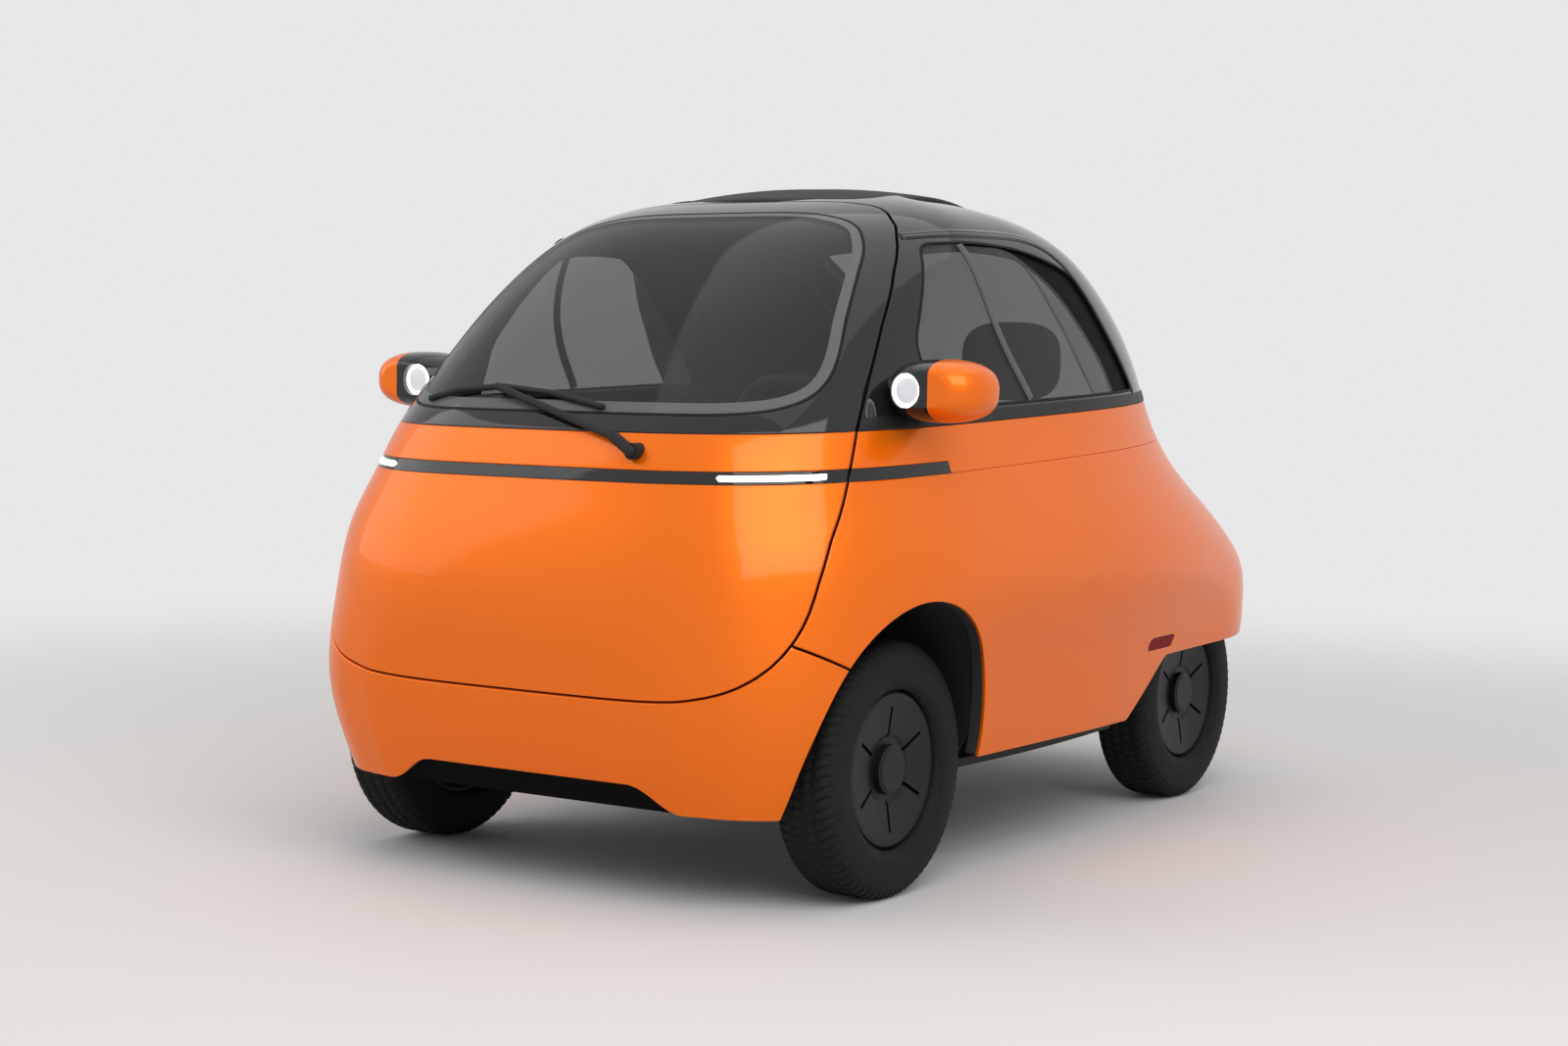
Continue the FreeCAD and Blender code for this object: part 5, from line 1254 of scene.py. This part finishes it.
def add_canvas():
    """Fabric stretched over bows, with a sewn hem and an edge that turns down to the roof"""
    half, y0, y1, corner = CANVAS_PLAN
    corners = np.array([(half, y0), (half, y1), (-half, y1), (-half, y0)])
    outline = rounded_outline(corners, [corner] * 4, CANVAS_CORNER_STEPS)
    dense = []
    for a, b in zip(outline, np.roll(outline, -1, 0)):
        steps = max(1, int(np.linalg.norm(b - a) / CANVAS_PITCH))
        dense += [a + (b - a) * k / steps for k in range(steps)]
    outline = np.array(dense)
    centre = outline.mean(0)
    rings = []
    for share in np.concatenate([np.linspace(*run) for run in CANVAS_RINGS]):
        flat = centre + (outline - centre) * share
        hem = HEM_DEPTH * np.exp(-(((1 - share) * half - CANVAS_HEM) / HEM_HALF) ** 2)
        rings.append(np.column_stack([flat, canvas_top(*flat.T) - hem]))
    rim_z = canvas_top(*outline.T)
    for turn in np.radians(EDGE_ANGLES):
        flat = centre + (outline - centre) * (1 - CANVAS_EDGE * (1 - math.sin(turn)))
        rings.append(np.column_stack([flat, rim_z - CANVAS_EDGE_DROP * (1 - math.cos(turn))]))
    ground = skin_height(outline) - CANVAS_TUCK
    rings.append(np.column_stack([outline, np.minimum(ground, rim_z - CANVAS_LEAST_DROP)]))
    count = len(outline)
    verts = np.concatenate(rings + [[[*centre, canvas_top(*centre)]]])
    middle = len(verts) - 1
    faces = tube_faces(len(rings), count) + [(middle, (k + 1) % count, k) for k in range(count)]
    obj = make_object("canvas_cover", verts, faces, canvas)
    solid = obj.modifiers.new("thickness", "SOLIDIFY")
    solid.thickness = CANVAS_THICKNESS
    solid.offset = 1.0
    place(obj, "root", "roof_fabric", "roof_canvas")


add_canvas()

# Headlamps
LAMP_PLACE = (0.657, -0.800, 1.041)
LAMP_STEPS = 64
# Radius and forward reach
LAMP_DISC = ((0.0270, 0.0), (0.0270, 0.012), (0.0250, 0.0135), (0.012, 0.0150), (0.001, 0.0155))
LAMP_RING = ((0.0275, 0.002), (0.0275, 0.0125), (0.0290, 0.0150), (0.0330, 0.0150), (0.0350, 0.0125),
             (0.0350, 0.002))


def turned_disc(name, centre, rings, material, *nodes):
    """Round piece facing forwards, from (radius, forward reach) pairs"""
    turn = 2 * math.pi * np.arange(LAMP_STEPS) / LAMP_STEPS
    verts = [(centre[0] + radius * math.cos(angle), centre[1] - ahead, centre[2] + radius * math.sin(angle))
             for radius, ahead in rings for angle in turn]
    faces = capped_tube(len(rings), LAMP_STEPS)
    place(make_object(name, verts, faces, material), "root", "lamp_lens", *nodes)


for side_name, side in (("left", 1), ("right", -1)):
    at = (side * LAMP_PLACE[0], *LAMP_PLACE[1:])
    turned_disc(side_name + "_lamp_disc", at, LAMP_DISC, lamp_white)
    turned_disc(side_name + "_lamp_ring", at, LAMP_RING, lamp_ring,
                *(("headlamp_lenses",) if side > 0 else ()))

# Seat and headrests
BENCH_FULLNESS = 7.0
BENCH_CELLS = 26
HEADREST_FULLNESS = 3.0
HEADREST_CELLS = 14
HEADREST_HALF = 0.130
CHANNEL_FACE = 0.2
# Axis across the channel, axis and sign of its face, place as a share, width, depth
CUSHION_CHANNELS = (
    [(0, 2, 1, 0.0, 0.010, 0.012)] + [(0, 2, 1, at, 0.008, 0.006) for at in (-0.86, -0.14, 0.14, 0.86)]
    + [(1, 2, 1, at, 0.008, 0.005) for at in (-0.5, 0.0, 0.5)])
BACKREST_CHANNELS = (
    [(0, 1, -1, 0.0, 0.010, 0.012)] + [(0, 1, -1, at, 0.008, 0.006) for at in (-0.86, -0.14, 0.14, 0.86)]
    + [(2, 1, -1, at, 0.008, 0.005) for at in (-0.45, 0.05, 0.55)])
HEADREST_CHANNELS = [(0, 1, -1, at, 0.006, 0.004) for at in (-0.55, 0.55)]


def pad(name, low, high, fullness, channels, cells, *nodes):
    """Crowned cushion in a box, sewn down along channels across its face"""
    middle, half = (low + high) / 2, (high - low) / 2
    mesh = bmesh.new()
    bmesh.ops.create_cube(mesh, size=2)
    bmesh.ops.subdivide_edges(mesh, edges=mesh.edges, cuts=cells, use_grid_fill=True)
    for vert in mesh.verts:
        q = np.array(vert.co)
        q = q * (np.abs(q) ** fullness).sum() ** (-1 / fullness)
        p = middle + q * half
        for axis, face_axis, sign, at, width, depth in channels:
            if q[face_axis] * sign > CHANNEL_FACE:
                p[face_axis] -= sign * depth * math.exp(-((q[axis] - at) * half[axis] / width) ** 2)
        vert.co = p
    data = bpy.data.meshes.new(name)
    mesh.to_mesh(data)
    mesh.free()
    obj = bpy.data.objects.new(name, data)
    scene.collection.objects.link(obj)
    data.materials.append(fabric)
    data.shade_smooth()
    smooth = obj.modifiers.new("smooth", "SUBSURF")
    smooth.levels = 1
    smooth.render_levels = 1
    place(obj, "root", "seat_fabric", *nodes)


for name, node, channels in (("bench_cushion", "seat_cushion", CUSHION_CHANNELS),
                             ("bench_backrest", "seat_back", BACKREST_CHANNELS)):
    low, high = (np.array(corner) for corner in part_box(node))
    pad(name, low, high, BENCH_FULLNESS, channels, BENCH_CELLS, node)
low, high = (np.array(corner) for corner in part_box("headrests"))
for side_name, side in (("left", 1), ("right", -1)):
    centre_x = side * (high[0] - HEADREST_HALF)
    pad(side_name + "_headrest", np.array((centre_x - HEADREST_HALF, *low[1:])),
        np.array((centre_x + HEADREST_HALF, *high[1:])), HEADREST_FULLNESS, HEADREST_CHANNELS,
        HEADREST_CELLS, *(("headrests",) if side > 0 else ()))

# Floor, lights and camera
BACKGROUND = 0.80
WORLD_LEVEL = 0.55
FLOOR_COLOUR = (0.74, 0.73, 0.72)
FLOOR_HALF = 60.0
FLOOR_FADE = (1.5, 6.5)
# Place, aim, sides and power in watts
LAMPS = {"key": ((4.0, -3.4, 4.6), (0, 0, 0.6), (6.0, 4.5), 210),
         "fill": ((-4.8, -3.0, 3.2), (0, 0, 0.6), (4.5, 4.0), 60),
         "top": ((0, 0.5, 5.0), (0, 0, 0.5), (5.0, 5.0), 40)}


def math_value(nodes, links, operation, first, second):
    node = nodes.new("ShaderNodeMath")
    node.operation = operation
    links.new(first, node.inputs[0])
    links.new(second, node.inputs[1])
    return node.outputs[0]


def seen_directly(nodes, links):
    """One for rays that show the background itself, in view, in gloss or through glass"""
    path = nodes.new("ShaderNodeLightPath")
    value = path.outputs["Is Camera Ray"]
    for name in ("Is Glossy Ray", "Is Transmission Ray"):
        value = math_value(nodes, links, "MAXIMUM", value, path.outputs[name])
    return value


def add_floor():
    """Pale floor that turns into the background's own level away from the car"""
    data = bpy.data.meshes.new("floor")
    size = FLOOR_HALF
    corners = [(-size, -size, 0), (size, -size, 0), (size, size, 0), (-size, size, 0)]
    data.from_pydata(corners, [], [(0, 1, 2, 3)])
    floor = bpy.data.objects.new("floor", data)
    scene.collection.objects.link(floor)
    material = new_material("floor_paint", FLOOR_COLOUR, 0.7, specular=0.2)
    nodes, links, shader = tree(material)
    where = nodes.new("ShaderNodeTexCoord")
    reach = nodes.new("ShaderNodeVectorMath")
    reach.operation = "LENGTH"
    links.new(where.outputs["Object"], reach.inputs[0])
    fade = nodes.new("ShaderNodeMapRange")
    fade.interpolation_type = "SMOOTHERSTEP"
    fade.inputs["From Min"].default_value, fade.inputs["From Max"].default_value = FLOOR_FADE
    links.new(reach.outputs["Value"], fade.inputs["Value"])
    share = math_value(nodes, links, "MULTIPLY", fade.outputs["Result"], seen_directly(nodes, links))
    glow = nodes.new("ShaderNodeEmission")
    glow.inputs["Strength"].default_value = BACKGROUND
    mix_shaders(nodes, links, share, shader.outputs["BSDF"], glow.outputs["Emission"])
    data.materials.append(material)


def add_lamps():
    for name, (place_at, aim, sides, power_w) in LAMPS.items():
        data = bpy.data.lights.new(name, "AREA")
        data.shape = "RECTANGLE"
        data.size, data.size_y = sides
        data.energy = power_w
        lamp = bpy.data.objects.new(name, data)
        lamp.location = place_at
        lamp.rotation_euler = (Vector(aim) - Vector(place_at)).to_track_quat("-Z", "Y").to_euler()
        scene.collection.objects.link(lamp)


def add_world():
    world = bpy.data.worlds.new("studio")
    scene.world = world
    world.use_nodes = True
    nodes, links = world.node_tree.nodes, world.node_tree.links
    back = nodes["Background"]
    back.inputs["Color"].default_value = (1, 1, 1, 1)
    level = nodes.new("ShaderNodeMapRange")
    level.inputs["To Min"].default_value = WORLD_LEVEL
    level.inputs["To Max"].default_value = BACKGROUND
    links.new(seen_directly(nodes, links), level.inputs["Value"])
    links.new(level.outputs["Result"], back.inputs["Strength"])


def add_camera():
    az, pitch, roll = CAMERA_AZIMUTH, CAMERA_PITCH, CAMERA_ROLL
    ahead = Vector((-math.sin(az) * math.cos(pitch), math.cos(az) * math.cos(pitch), -math.sin(pitch)))
    level = Vector((math.cos(az), math.sin(az), 0))
    up = level.cross(ahead)
    across = level * math.cos(roll) + up * math.sin(roll)
    upward = up * math.cos(roll) - level * math.sin(roll)
    data = bpy.data.cameras.new("camera")
    data.lens = CAMERA_LENS
    data.sensor_width = CAMERA_SENSOR
    camera = bpy.data.objects.new("camera", data)
    turn = Matrix((across, upward, -ahead)).transposed().to_4x4()
    camera.matrix_world = Matrix.Translation(CAMERA_PLACE) @ turn
    scene.collection.objects.link(camera)
    scene.camera = camera


add_floor()
add_world()
add_lamps()
add_camera()
scene.view_settings.view_transform = "Standard"
